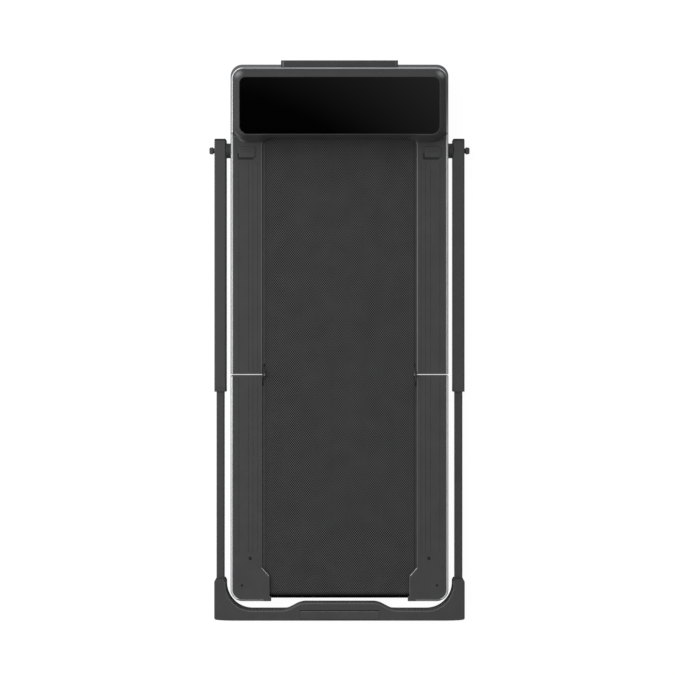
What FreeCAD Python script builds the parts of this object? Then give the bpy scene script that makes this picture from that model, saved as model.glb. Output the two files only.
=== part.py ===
import FreeCAD, Part
import math
import os
import re
import Sketcher

# A folding walking pad with a fold-down handrail, in millimetres.
# X runs to the right, +Y to the motor hood, +Z up from the floor, and the origin is
# on the floor under the middle of the whole object.
doc = FreeCAD.newDocument("WalkingPad")

SIZES = {
    # Deck outline and its fold
    "deck_half_width": 295.0,
    "rear_half_length": 612.6,
    "fold_back": 92.4,
    "fold_gap": 3.6,
    "fold_rise": 2.3,
    "hood_gap": 15.8,
    "hood_length": 212.0,
    # Aluminium side rails and the nose frame
    "foot_height": 10.0,
    "foot_radius": 12.0,
    "foot_inset": 17.0,
    "foot_from_fold": 45.0,
    "foot_from_end": 60.0,
    "rail_height": 54.0,
    "rail_wall": 5.5,
    "rail_edge": 3.0,
    "flange_width": 33.0,
    "flange_thick": 4.0,
    "corner_round": 32.0,
    "nose_length": 188.0,
    "nose_front_wall": 12.0,
    "return_past_belt": 4.0,
    # Cross beams, deck boards and their cushions
    "beam_width": 20.0,
    "beam_height": 20.0,
    "beam_wall": 2.0,
    "beam_from_fold": 30.0,
    "beam_front_middle": 240.0,
    "beam_rear_middle": 400.0,
    "beam_under_hood": 8.0,
    "board_thick": 17.7,
    "board_inset": 0.5,
    "board_to_roller": 10.0,
    "cushion_height": 3.0,
    "cushion_length": 40.0,
    "cushion_width": 16.0,
    "cushion_inset": 52.0,
    # Walking belt, rollers and their axles
    "belt_from_edge": 93.0,
    "belt_thick": 2.0,
    "belt_gap": 0.3,
    "belt_end_inset": 3.7,
    "roller_radius": 21.25,
    "roller_wall": 3.2,
    "roller_past_belt": 3.0,
    "roller_under_hood": 64.0,
    "axle_radius": 8.0,
    "axle_past_bracket": 2.0,
    "bearing_width": 11.0,
    "running_fit": 0.05,
    "bracket_length": 34.0,
    "bracket_over_axle": 12.0,
    "bracket_gap": 13.5,
    "tension_bolt_radius": 3.0,
    # Plastic foot rails over the side rails
    "cover_thick": 3.0,
    "cover_skirt": 3.0,
    "cover_skirt_depth": 19.0,
    "cover_lip": 3.0,
    "lip_depth": 9.5,
    "cover_fit": 0.2,
    "cover_under_hood": 18.0,
    "boss_radius": 5.0,
    "end_block_over_belt": 12.6,
    "end_block_length": 91.0,
    "end_block_slope": 23.0,
    "screw_large_radius": 4.0,
    "screw_large_from_end": 116.5,
    "screw_small_radius": 2.7,
    "screw_small_from_end": 43.3,
    "screw_shank_radius": 1.8,
    "screw_head_depth": 1.6,
    "screw_fit": 0.1,
    "pad_length": 33.0,
    "pad_behind_hood": 12.4,
    "pad_clearance": 0.4,
    "pad_round": 8.0,
    # Fold hinges beside the belt
    "belt_side_gap": 0.6,
    "leaf_thick": 3.2,
    "leaf_gap": 0.25,
    "leaf_eye_radius": 5.0,
    "leaf_foot_length": 24.0,
    "hinge_pin_radius": 2.5,
    # Motor hood with its glass top
    "hood_height": 67.0,
    "hood_wall": 3.0,
    "hood_roof": 6.0,
    "hood_side_draft": 21.3,
    "hood_front_draft": 33.5,
    "hood_rear_draft": 8.0,
    "hood_round": 24.0,
    "hood_edge_round": 2.0,
    "glass_thick": 2.8,
    "glass_side_margin": 2.7,
    "glass_front_margin": 2.8,
    "glass_rear_margin": 4.3,
    "glass_front_round": 16.0,
    "glass_rear_round": 21.0,
    "glass_fit": 0.2,
    "window_half_width": 70.0,
    "window_length": 40.0,
    "post_radius": 5.0,
    "post_inset": 31.5,
    "post_rear": 45.0,
    "post_front": 80.0,
    # Belly pan, motor, drive and electronics
    "pan_thick": 2.5,
    "pan_inset": 9.5,
    "pan_front_gap": 5.0,
    "pan_behind_motor": 28.0,
    "pan_corner": 24.0,
    "motor_ahead": 60.0,
    "motor_height": 72.0,
    "motor_radius": 42.0,
    "motor_length": 150.0,
    "motor_to_pulley": 25.0,
    "shaft_radius": 6.0,
    "shaft_past_pulley": 3.0,
    "shaft_past_motor": 6.0,
    "saddle_margin": 20.0,
    "saddle_half_length": 25.0,
    "saddle_rise": 15.0,
    "pulley_hub_radius": 14.0,
    "roller_pulley_radius": 22.0,
    "motor_pulley_radius": 11.0,
    "drive_belt_thick": 3.0,
    "drive_belt_inset": 2.0,
    "board_plate_thick": 1.6,
    "control_board_from_wheel": 110.0,
    "control_board_half_width": 65.0,
    "control_board_half_length": 40.0,
    "control_board_ahead": 80.0,
    "standoff_height": 4.0,
    "standoff_radius": 3.0,
    "heat_sink_half_width": 18.0,
    "heat_sink_height": 22.0,
    "capacitor_radius": 9.0,
    "capacitor_height": 30.0,
    "capacitor_offset": 42.0,
    "display_board_half_width": 90.0,
    "display_board_half_length": 28.0,
    # Mains inlet with its rocker switch, in the nose
    "inlet_from_rail": 67.5,
    "inlet_half_width": 32.0,
    "inlet_height": 22.0,
    "inlet_bottom": 22.0,
    "inlet_depth": 26.0,
    "inlet_fit": 0.2,
    "socket_width": 26.0,
    "socket_wall": 3.0,
    "socket_depth": 18.0,
    "contact_width": 2.0,
    "contact_height": 5.0,
    "contact_spread": 7.0,
    "contact_short": 3.0,
    "rocker_width": 14.0,
    "rocker_height": 15.0,
    "rocker_thick": 7.0,
    "rocker_room": 1.0,
    "rocker_pin_radius": 1.5,
    "rocker_tilt": 8.0,
    # Transport wheels and the standing bar at the nose
    "wheel_radius": 18.0,
    "wheel_width": 16.0,
    "wheel_lift": 2.0,
    "wheel_from_rail": 49.5,
    "wheel_ahead": 100.0,
    "wheel_axle_radius": 3.0,
    "wheel_room": 3.0,
    "fork_thick": 4.0,
    "fork_half_length": 10.0,
    "fork_over_axle": 8.0,
    "stand_half_width": 158.3,
    "stand_depth": 11.6,
    "stand_bottom": 20.0,
    "stand_lip": 2.0,
    "stand_lip_reach": 7.8,
    "stand_slope": 4.0,
    # Handrail pivots, uprights and knobs
    "pivot_behind_hood": 18.1,
    "pivot_height": 38.0,
    "pivot_bolt_radius": 6.0,
    "bolt_head_radius": 10.0,
    "bolt_head_length": 6.0,
    "boss_length": 12.7,
    "boss_outer_radius": 20.3,
    "moving_gap": 0.3,
    "knob_length": 14.0,
    "knob_radius": 8.0,
    "knob_wing": 10.5,
    "knob_wing_thick": 7.0,
    "knob_cap": 6.8,
    "tube_width": 32.0,
    "tube_depth": 30.0,
    "tube_wall": 2.0,
    "tube_round": 4.0,
    "tube_ahead": 31.5,
    "tube_length": 687.7,
    "cap_length": 6.0,
    "collar_length": 13.4,
    # Sliding inner tubes and the handlebar
    "inner_width": 21.4,
    "inner_depth": 18.0,
    "inner_wall": 1.8,
    "inner_round": 3.2,
    "inner_overlap": 124.0,
    "slide_fit": 0.3,
    "bush_length": 25.0,
    "bar_gap": 28.2,
    "bar_width": 26.4,
    "bar_bottom": 17.0,
    "bar_depth": 40.0,
    "bar_mouth": 58.3,
    "bar_shoulder": 4.0,
    "bar_shoulder_length": 7.3,
    "bar_inner_round": 70.0,
    "bar_outer_round": 5.0,
    "bridge_half_width": 145.0,
    "bump_half_width": 104.0,
    "bump": 22.8,
    "bump_depth": 28.0,
    "grip_half_width": 108.0,
    "grip_width": 24.4,
    "grip_depth": 9.8,
    "grip_fit": 0.2,
}

# How far across a foot rail, from its inner edge, each thing on it sits
FOOT_RAIL_SHARES = {"boss": 0.439, "screw_large": 0.4035, "screw_small": 0.683, "pad": 0.52}
PAD_WIDTH_SHARE = 0.627

# How far from a roller's end to the outside of its block each thing on the axle starts or ends
AXLE_SHARES = {
    "pulley_start": 0.141,
    "pulley_end": 0.423,
    "tension_block": 0.324,
    "tension_bolt": 0.451,
    "bracket": 0.718,
}

sheet = doc.addObject("Spreadsheet::Sheet", "sizes")
for row, (alias, number) in enumerate(SIZES.items(), start=1):
    sheet.set("A%d" % row, alias)
    sheet.set("B%d" % row, str(number))
    sheet.setAlias("B%d" % row, alias)
doc.recompute()

# Heights above the floor, worked out from the sizes
RAIL_TOP = "(foot_height + rail_height)"
FLANGE_TOP = "(foot_height + flange_thick)"
BEAM_TOP = f"({FLANGE_TOP} + beam_height)"
BOARD_BOTTOM = f"({BEAM_TOP} + cushion_height)"
BOARD_TOP = f"({BOARD_BOTTOM} + board_thick)"
ROLLER_Z = f"({BOARD_TOP} - roller_radius)"
FOLD_Z = f"({RAIL_TOP} + fold_rise)"
PAN_TOP = f"({FLANGE_TOP} + pan_thick)"
HOOD_TOP = f"({RAIL_TOP} + hood_height)"
ROOF_BELOW = f"({HOOD_TOP} - hood_roof)"
GLASS_BELOW = f"({HOOD_TOP} - glass_thick - glass_fit)"

# Places along the deck
DECK_BACK = "(fold_back + rear_half_length)"
FRONT_EDGE = "(fold_gap / 2 - fold_back)"
REAR_EDGE = "(-fold_gap / 2 - fold_back)"
HOOD_REAR = "(rear_half_length - fold_back + hood_gap)"
DECK_FRONT = f"({HOOD_REAR} + hood_length)"
HOOD_FRONT = f"({DECK_FRONT} - nose_front_wall - cover_fit)"
NOSE_REAR = f"({DECK_FRONT} - nose_length)"
FRONT_ROLLER_Y = f"({HOOD_REAR} + roller_under_hood)"
BELT_OUTER = "(roller_radius + belt_gap + belt_thick)"
REAR_ROLLER_Y = f"(belt_end_inset + {BELT_OUTER} - {DECK_BACK})"
MOTOR_Y = f"({FRONT_ROLLER_Y} + motor_ahead)"
PAN_REAR = f"({MOTOR_Y} - pan_behind_motor)"
PAN_FRONT = f"({DECK_FRONT} - nose_front_wall - pan_front_gap)"
WHEEL_Y = f"({FRONT_ROLLER_Y} + wheel_ahead)"
WHEEL_Z = "(wheel_radius + wheel_lift)"
PIVOT_Y = f"({HOOD_REAR} - pivot_behind_hood)"
FRONT_BEAM_Y = f"({HOOD_REAR} + beam_under_hood)"
SCREW_LARGE_Y = f"(screw_large_from_end - {DECK_BACK})"
SCREW_SMALL_Y = f"(screw_small_from_end - {DECK_BACK})"

# Places across the deck
RAIL_INNER = "(deck_half_width - rail_wall)"
FLANGE_INNER = "(deck_half_width - flange_width)"
COVER_OUTER = f"({RAIL_INNER} - cover_fit)"
BELT_SIDE = "(deck_half_width - belt_from_edge)"
FRONT_LEAF_X = f"({BELT_SIDE} + belt_side_gap)"
REAR_LEAF_X = f"({FRONT_LEAF_X} + leaf_thick + leaf_gap)"
COVER_INNER = f"({REAR_LEAF_X} + leaf_thick + leaf_gap)"
RETURN_INNER = f"({BELT_SIDE} + return_past_belt)"
BLOCK_INNER = f"({BELT_SIDE} - end_block_over_belt)"
ROLLER_END = f"({BELT_SIDE} + roller_past_belt)"
BRACKET_OUTER = f"({RAIL_INNER} - bracket_gap)"


def on_foot_rail(thing):
    """The place across a foot rail of a thing on it."""
    return f"({COVER_INNER} + {FOOT_RAIL_SHARES[thing]} * ({COVER_OUTER} - {COVER_INNER}))"


def on_axle(thing):
    """The place along an axle's end of a thing on it."""
    return f"({ROLLER_END} + {AXLE_SHARES[thing]} * ({BRACKET_OUTER} - {ROLLER_END}))"


PULLEY_X = on_axle("pulley_start")
PULLEY_END = on_axle("pulley_end")
WHEEL_SIDE = f"({RAIL_INNER} - wheel_from_rail)"
INLET_SIDE = f"({RAIL_INNER} - inlet_from_rail)"
MOTOR_RIGHT = f"({PULLEY_X} - motor_to_pulley)"
MOTOR_LEFT = f"({MOTOR_RIGHT} - motor_length)"
TUBE_INNER = "(deck_half_width + boss_length + moving_gap)"
TUBE_X = f"({TUBE_INNER} + tube_width / 2)"
TUBE_OUTER = f"({TUBE_INNER} + tube_width)"
KNOB_X = f"({TUBE_OUTER} + moving_gap)"

# The handrail's places along the deck
TUBE_FRONT = f"({PIVOT_Y} + tube_ahead)"
TUBE_BACK = f"({TUBE_FRONT} - tube_length)"
COLLAR_FRONT = f"({TUBE_BACK} + collar_length)"
BAR_INNER_Y = f"(-{DECK_BACK} - bar_gap)"
BAR_BACK = f"({BAR_INNER_Y} - bar_width)"
BAR_MOUTH_Y = f"(bar_mouth - {DECK_BACK})"
BAR_TOP = "(bar_bottom + bar_depth)"


def on_sheet(text):
    """Turn a sum of size names into an expression on the sheet."""
    return re.sub("[a-z_]+", lambda word: "sizes." + word.group(), text)


def size(text):
    """The present value of a sum of size names."""
    return float(sheet.evalExpression(on_sheet(text)))


def box(name, x, y, z):
    """A box between two places on each axis."""
    piece = doc.addObject("Part::Box", name)
    for length, axis, (low, high) in (("Length", "x", x), ("Width", "y", y), ("Height", "z", z)):
        piece.setExpression(length, on_sheet(f"({high}) - ({low})"))
        piece.setExpression("Placement.Base." + axis, on_sheet(low))
    return piece


TURNS = {
    "x": FreeCAD.Rotation(FreeCAD.Vector(0, 1, 0), 90),
    "y": FreeCAD.Rotation(FreeCAD.Vector(1, 0, 0), -90),
    "z": FreeCAD.Rotation(),
}


def rod(name, axis, low, high, centre, radius):
    """A cylinder along one axis; centre gives its places on the other two, in order."""
    piece = doc.addObject("Part::Cylinder", name)
    piece.Placement = FreeCAD.Placement(FreeCAD.Vector(), TURNS[axis])
    piece.setExpression("Radius", on_sheet(radius))
    piece.setExpression("Height", on_sheet(f"({high}) - ({low})"))
    places = dict(zip([other for other in "xyz" if other != axis], centre))
    places[axis] = low
    for other, place in places.items():
        piece.setExpression("Placement.Base." + other, on_sheet(place))
    return piece


def rounded(body, radius, chosen):
    """Round those edges of a body that the test chooses."""
    base = body.Tip
    names = [f"Edge{n}" for n, edge in enumerate(base.Shape.Edges, start=1) if chosen(edge)]
    fillet = body.newObject("PartDesign::Fillet", body.Name + "_round")
    fillet.Base = (base, names)
    fillet.setExpression("Radius", on_sheet(radius))
    doc.recompute()
    return body


def runs_through(edge, spot, flat):
    """Whether an edge is the one that stands on a corner of an outline."""
    tolerance = spot.Length / 1e6
    return all((flat(vertex.Point) - spot).Length < tolerance for vertex in edge.Vertexes)


PLANES = {
    "xy": ("XY_Plane", "z", lambda p: FreeCAD.Vector(p.x, p.y, 0)),
    "xz": ("XZ_Plane", "y", lambda p: FreeCAD.Vector(p.x, p.z, 0)),
    "yz": ("YZ_Plane", "x", lambda p: FreeCAD.Vector(p.y, p.z, 0)),
}


def prism(name, plane, outline, low, high, rounds=()):
    """Pad an outline of (across, up) places from low to high, and round its numbered corners."""
    role, axis, flat = PLANES[plane]
    body = doc.addObject("PartDesign::Body", name)
    sketch = body.newObject("Sketcher::SketchObject", name + "_sketch")
    origin_plane = [feature for feature in body.Origin.OriginFeatures if feature.Role == role][0]
    sketch.AttachmentSupport = [(origin_plane, "")]
    sketch.MapMode = "FlatFace"
    points = [FreeCAD.Vector(size(across), size(up), 0) for across, up in outline]
    ends = points[1:] + points[:1]
    sketch.addGeometry([Part.LineSegment(start, end) for start, end in zip(points, ends)])
    for number, (point, (across, up)) in enumerate(zip(points, outline)):
        following = (number + 1) % len(points)
        sketch.addConstraint(Sketcher.Constraint("Coincident", number, 2, following, 1))
        for kind, place, text in (("DistanceX", point.x, across), ("DistanceY", point.y, up)):
            index = sketch.addConstraint(Sketcher.Constraint(kind, -1, 1, number, 1, place))
            sketch.setExpression(f"Constraints[{index}]", on_sheet(text))
    pad = body.newObject("PartDesign::Pad", name + "_pad")
    pad.Profile = sketch
    pad.setExpression("Length", on_sheet(f"({high}) - ({low})"))
    body.setExpression("Placement.Base." + axis, on_sheet(high if plane == "xz" else low))
    doc.recompute()
    for corners, radius in rounds:
        spots = [points[corner] for corner in corners]
        rounded(body, radius, lambda edge: any(runs_through(edge, spot, flat) for spot in spots))
    return body


def fuse(name, *pieces):
    """Join pieces into one solid."""
    piece = doc.addObject("Part::MultiFuse", name)
    piece.Shapes = list(pieces)
    piece.Refine = True
    return piece


def cut(name, base, *tools):
    """Take tools away from a piece."""
    piece = doc.addObject("Part::Cut", name)
    piece.Base = base
    piece.Tool = tools[0] if len(tools) == 1 else fuse(name + "_tools", *tools)
    return piece


def mirrored(name, source):
    """The same piece on the other side of the deck."""
    piece = doc.addObject("Part::Mirroring", name)
    piece.Source = source
    piece.Normal = FreeCAD.Vector(1, 0, 0)
    return piece


NODES = []


def node(name, piece):
    """Give a finished sub-part its name."""
    piece.Label = name
    NODES.append(piece)


def group(name, *pieces):
    """Several like solids under one name."""
    piece = doc.addObject("Part::Compound", name)
    piece.Links = list(pieces)
    node(name, piece)


def pair(name, piece):
    """A solid and its mirror image under one name."""
    group(name, piece, mirrored(name + "_other", piece))


def left_and_right(stem, piece):
    """A solid on the right and its mirror image on the left, each under its own name."""
    node(stem + "_right", piece)
    node(stem + "_left", mirrored(stem + "_mirror", piece))


def rectangle(low, high):
    """The four corners between two (across, up) places."""
    return [low, (high[0], low[1]), high, (low[0], high[1])]


# Front side rails: L-shaped extrusions with a bevelled top edge, one hole each for the pivot bolt
RAIL_SECTION = [
    (FLANGE_INNER, "foot_height"),
    ("deck_half_width", "foot_height"),
    ("deck_half_width", f"{RAIL_TOP} - rail_edge"),
    ("deck_half_width - rail_edge", RAIL_TOP),
    (RAIL_INNER, RAIL_TOP),
    (RAIL_INNER, FLANGE_TOP),
    (FLANGE_INNER, FLANGE_TOP),
]
PIVOT = (PIVOT_Y, "pivot_height")
BOLT_HOLE = "pivot_bolt_radius + running_fit"
front_rail = prism("front_rail", "xz", RAIL_SECTION, FRONT_EDGE, NOSE_REAR)
rail_hole = rod("rail_hole", "x", FLANGE_INNER, "deck_half_width + boss_length", PIVOT, BOLT_HOLE)
left_and_right("front_frame", cut("front_frame", front_rail, rail_hole))

# Nose frame: the same wall carried round the front corners, with a bottom flange, and a
# mouth in its front wall for the mains inlet
INSIDE_ROUND = "corner_round - rail_wall"
nose_wall = prism(
    "nose_wall",
    "xy",
    [
        ("deck_half_width", NOSE_REAR),
        ("deck_half_width", DECK_FRONT),
        ("-deck_half_width", DECK_FRONT),
        ("-deck_half_width", NOSE_REAR),
        (f"-{RAIL_INNER}", NOSE_REAR),
        (f"-{RAIL_INNER}", f"{DECK_FRONT} - nose_front_wall"),
        (RAIL_INNER, f"{DECK_FRONT} - nose_front_wall"),
        (RAIL_INNER, NOSE_REAR),
    ],
    "foot_height",
    RAIL_TOP,
    rounds=[((1, 2), "corner_round"), ((5, 6), INSIDE_ROUND)],
)
rounded(
    nose_wall,
    "rail_edge",
    lambda edge: all(abs(v.Z - size("rail_height")) < size("running_fit") for v in edge.Vertexes)
    and (
        edge.BoundBox.YMax > size(f"{DECK_FRONT} - running_fit")
        or edge.BoundBox.XMax > size("deck_half_width - running_fit")
        or edge.BoundBox.XMin < -size("deck_half_width - running_fit")
    ),
)
nose_flange = prism(
    "nose_flange",
    "xy",
    [
        ("deck_half_width", NOSE_REAR),
        ("deck_half_width", DECK_FRONT),
        ("-deck_half_width", DECK_FRONT),
        ("-deck_half_width", NOSE_REAR),
        (f"-{FLANGE_INNER}", NOSE_REAR),
        (f"-{FLANGE_INNER}", f"{DECK_FRONT} - nose_front_wall"),
        (FLANGE_INNER, f"{DECK_FRONT} - nose_front_wall"),
        (FLANGE_INNER, NOSE_REAR),
    ],
    "foot_height",
    FLANGE_TOP,
    rounds=[((1, 2), "corner_round")],
)
INLET_X = (f"-{INLET_SIDE} - inlet_half_width", f"inlet_half_width - {INLET_SIDE}")
INLET_Z = ("inlet_bottom", "inlet_bottom + inlet_height")
inlet_mouth = box(
    "inlet_mouth",
    (f"{INLET_X[0]} - inlet_fit", f"{INLET_X[1]} + inlet_fit"),
    (f"{DECK_FRONT} - nose_front_wall", f"{DECK_FRONT} + nose_front_wall"),
    (f"{INLET_Z[0]} - inlet_fit", f"{INLET_Z[1]} + inlet_fit"),
)
node("nose_frame", cut("nose_frame", fuse("nose_shell", nose_wall, nose_flange), inlet_mouth))


# Cross beams: square steel tubes from rail to rail on the bottom flanges
def beam(name, y):
    across = (f"-{RAIL_INNER}", RAIL_INNER)
    depth = (f"{y} - beam_width / 2", f"{y} + beam_width / 2")
    hollow = (f"{depth[0]} + beam_wall", f"{depth[1]} - beam_wall")
    tube = box(name + "_tube", across, depth, (FLANGE_TOP, BEAM_TOP))
    bore = box(name + "_bore", across, hollow, (f"{FLANGE_TOP} + beam_wall", f"{BEAM_TOP} - beam_wall"))
    return cut(name, tube, bore)


FRONT_BEAMS = ["beam_from_fold - fold_back", "beam_front_middle", FRONT_BEAM_Y]
REAR_BEAMS = ["-fold_back - beam_from_fold", "-beam_rear_middle", SCREW_LARGE_Y]
group("front_crossmembers", *[beam(f"front_beam_{n}", y) for n, y in enumerate(FRONT_BEAMS)])
group("rear_crossmembers", *[beam(f"rear_beam_{n}", y) for n, y in enumerate(REAR_BEAMS)])


# Deck boards: laminated board under the belt, on rubber cushions that sit on the beams
CUSHION_X = f"({BELT_SIDE} - cushion_inset)"


def cushions(name, beams):
    blocks = []
    for number, y in enumerate(beams):
        block = box(
            f"{name}_{number}",
            (f"{CUSHION_X} - cushion_length / 2", f"{CUSHION_X} + cushion_length / 2"),
            (f"{y} - cushion_width / 2", f"{y} + cushion_width / 2"),
            (BEAM_TOP, BOARD_BOTTOM),
        )
        blocks += [block, mirrored(f"{name}_{number}_other", block)]
    group(name, *blocks)


cushions("front_deck_cushions", FRONT_BEAMS)
cushions("rear_deck_cushions", REAR_BEAMS)
BOARD_X = (f"board_inset - {BELT_SIDE}", f"{BELT_SIDE} - board_inset")
BOARD_Z = (BOARD_BOTTOM, BOARD_TOP)
FRONT_BOARD_END = f"{FRONT_ROLLER_Y} - roller_radius - board_to_roller"
REAR_BOARD_END = f"{REAR_ROLLER_Y} + roller_radius + board_to_roller"
node("front_deck_board", box("front_deck_board", BOARD_X, (FRONT_EDGE, FRONT_BOARD_END), BOARD_Z))
node("rear_deck_board", box("rear_deck_board", BOARD_X, (REAR_BOARD_END, REAR_EDGE), BOARD_Z))


# Rear side rails: the wall turns the rear corner and returns along the end
RETURN_Y = f"(rail_wall - {DECK_BACK})"
rear_wall = prism(
    "rear_wall",
    "xy",
    [
        ("deck_half_width", REAR_EDGE),
        (RAIL_INNER, REAR_EDGE),
        (RAIL_INNER, RETURN_Y),
        (RETURN_INNER, RETURN_Y),
        (RETURN_INNER, f"-{DECK_BACK}"),
        ("deck_half_width", f"-{DECK_BACK}"),
    ],
    "foot_height",
    RAIL_TOP,
    rounds=[((5,), "corner_round"), ((2,), INSIDE_ROUND)],
)
rounded(
    rear_wall,
    "rail_edge",
    lambda edge: all(abs(v.Z - size("rail_height")) < size("running_fit") for v in edge.Vertexes)
    and (
        edge.BoundBox.YMin < -size(f"{DECK_BACK} - running_fit")
        or edge.BoundBox.XMax > size("deck_half_width - running_fit")
    )
    and not edge.BoundBox.XMin < size(f"{RETURN_INNER} - running_fit")
    and not (
        edge.BoundBox.XLength < size("running_fit") and edge.BoundBox.YLength < size("corner_round")
    ),
)
rear_flange = prism(
    "rear_flange",
    "xy",
    [
        ("deck_half_width", REAR_EDGE),
        (FLANGE_INNER, REAR_EDGE),
        (FLANGE_INNER, f"bracket_length / 2 + {REAR_ROLLER_Y}"),
        (COVER_INNER, f"bracket_length / 2 + {REAR_ROLLER_Y}"),
        (COVER_INNER, f"-{DECK_BACK}"),
        ("deck_half_width", f"-{DECK_BACK}"),
    ],
    "foot_height",
    FLANGE_TOP,
    rounds=[((5,), "corner_round")],
)
TENSION_X = on_axle("tension_bolt")
TENSION_Y = (f"-{DECK_BACK}", f"{REAR_ROLLER_Y} - bracket_length / 2")
tension_hole = rod(
    "tension_hole",
    "y",
    TENSION_Y[0],
    RETURN_Y,
    (TENSION_X, ROLLER_Z),
    "tension_bolt_radius + running_fit",
)
rear_shell = fuse("rear_rail_shell", rear_wall, rear_flange)
left_and_right("rear_frame", cut("rear_frame", rear_shell, tension_hole))

# Belt tension bolts: through the rear returns to the rear roller's blocks
pair(
    "belt_tension_bolts",
    rod("tension_bolt", "y", *TENSION_Y, (TENSION_X, ROLLER_Z), "tension_bolt_radius"),
)


# Rubber feet under the bottom flanges
def feet(name, places):
    blocks = []
    for number, y in enumerate(places):
        centre = ("deck_half_width - foot_inset", y)
        foot = rod(f"{name}_{number}", "z", "0", "foot_height", centre, "foot_radius")
        blocks += [foot, mirrored(f"{name}_{number}_other", foot)]
    group(name, *blocks)


feet("front_feet", [f"{FRONT_EDGE} + foot_from_fold", f"{NOSE_REAR} + foot_from_end"])
feet("rear_feet", [f"{REAR_EDGE} - foot_from_fold", f"foot_from_end - {DECK_BACK}"])


# Rollers: steel drums on ball bearings, each on a fixed axle held in two blocks
def roller(name, y, block_inner):
    centre = (y, ROLLER_Z)
    ends = (f"-{ROLLER_END}", ROLLER_END)
    drum = rod(name + "_drum", "x", *ends, centre, "roller_radius")
    bore = rod(name + "_bore", "x", *ends, centre, "roller_radius - roller_wall")
    node(name, cut(name, drum, bore))
    bearing_ends = (f"{ROLLER_END} - bearing_width", ROLLER_END)
    ring_radius = "roller_radius - roller_wall - running_fit"
    ring = rod(name + "_ring", "x", *bearing_ends, centre, ring_radius)
    eye = rod(name + "_eye", "x", *bearing_ends, centre, "axle_radius + running_fit")
    pair(name + "_bearings", cut(name + "_bearing", ring, eye))
    axle_end = f"{BRACKET_OUTER} + axle_past_bracket"
    node(name + "_axle", rod(name + "_axle", "x", f"-({axle_end})", axle_end, centre, "axle_radius"))
    block_y = (f"{y} - bracket_length / 2", f"{y} + bracket_length / 2")
    block_z = (FLANGE_TOP, f"{ROLLER_Z} + bracket_over_axle")
    block = box(name + "_block", (block_inner, BRACKET_OUTER), block_y, block_z)
    seat_ends = (block_inner, BRACKET_OUTER)
    seat = rod(name + "_seat", "x", *seat_ends, centre, "axle_radius + running_fit")
    pair(name + "_brackets", cut(name + "_bracket", block, seat))


roller("front_roller", FRONT_ROLLER_Y, on_axle("bracket"))
roller("rear_roller", REAR_ROLLER_Y, on_axle("tension_block"))


# Walking belt: one flat loop round both rollers
def belt_solid(name, radius):
    across = (f"-{BELT_SIDE}", BELT_SIDE)
    runs = box(
        name + "_runs",
        across,
        (REAR_ROLLER_Y, FRONT_ROLLER_Y),
        (f"{ROLLER_Z} - ({radius})", f"{ROLLER_Z} + ({radius})"),
    )
    front = rod(name + "_front", "x", *across, (FRONT_ROLLER_Y, ROLLER_Z), radius)
    rear = rod(name + "_rear", "x", *across, (REAR_ROLLER_Y, ROLLER_Z), radius)
    return fuse(name, runs, front, rear)


belt_outside = belt_solid("belt_outside", BELT_OUTER)
belt_inside = belt_solid("belt_inside", "roller_radius + belt_gap")
node("walking_belt", cut("walking_belt", belt_outside, belt_inside))

# Front foot rails: moulded covers with bosses that stand on the beams, an inner skirt, and a lip
# that closes the gap beside the belt; near the fold the lip leaves room for the hinge leaf
SKIRT_BOTTOM = f"{RAIL_TOP} - cover_skirt_depth"
LIP_Z = (SKIRT_BOTTOM, f"{SKIRT_BOTTOM} + lip_depth")
FRONT_LIP_START = "beam_from_fold - fold_back"
REAR_LIP_START = "-fold_back - beam_from_fold"
COVER_FRONT = f"({HOOD_REAR} + cover_under_hood)"
PLATE_Z = (f"{RAIL_TOP} - cover_thick", RAIL_TOP)


def boss(name, x, y, bottom):
    return rod(name, "z", bottom, PLATE_Z[0], (x, y), "boss_radius")


front_plate = box("front_plate", (COVER_INNER, COVER_OUTER), (FRONT_EDGE, COVER_FRONT), PLATE_Z)
front_skirt = box(
    "front_skirt",
    (COVER_INNER, f"{COVER_INNER} + cover_skirt"),
    (FRONT_EDGE, COVER_FRONT),
    (SKIRT_BOTTOM, PLATE_Z[0]),
)
front_lip = box(
    "front_lip", (FRONT_LEAF_X, f"{COVER_INNER} + cover_skirt"), (FRONT_LIP_START, COVER_FRONT), LIP_Z
)
front_lip_end = box(
    "front_lip_end",
    (REAR_LEAF_X, f"{COVER_INNER} + cover_skirt"),
    (FRONT_EDGE, f"{FRONT_LIP_START} + cover_lip"),
    LIP_Z,
)
BOSS_X = on_foot_rail("boss")
front_bosses = [boss(f"front_boss_{n}", BOSS_X, y, BEAM_TOP) for n, y in enumerate(FRONT_BEAMS)]
front_inside = [front_skirt, front_lip, front_lip_end]
left_and_right("front_cover", fuse("front_cover", front_plate, *front_inside, *front_bosses))

# Fold rests: soft pads on the front covers, where the folded rear half lands
PAD_X = on_foot_rail("pad")
PAD_WIDTH = f"{PAD_WIDTH_SHARE} * ({COVER_OUTER} - {COVER_INNER})"
pair(
    "fold_rest_pads",
    prism(
        "fold_rest_pad",
        "xy",
        rectangle(
            (f"{PAD_X} - {PAD_WIDTH} / 2", f"{HOOD_REAR} - pad_behind_hood - pad_length"),
            (f"{PAD_X} + {PAD_WIDTH} / 2", f"{HOOD_REAR} - pad_behind_hood"),
        ),
        RAIL_TOP,
        f"{RAIL_TOP} + 2 * fold_rise - pad_clearance",
        rounds=[((0, 1, 2, 3), "pad_round")],
    ),
)

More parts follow.
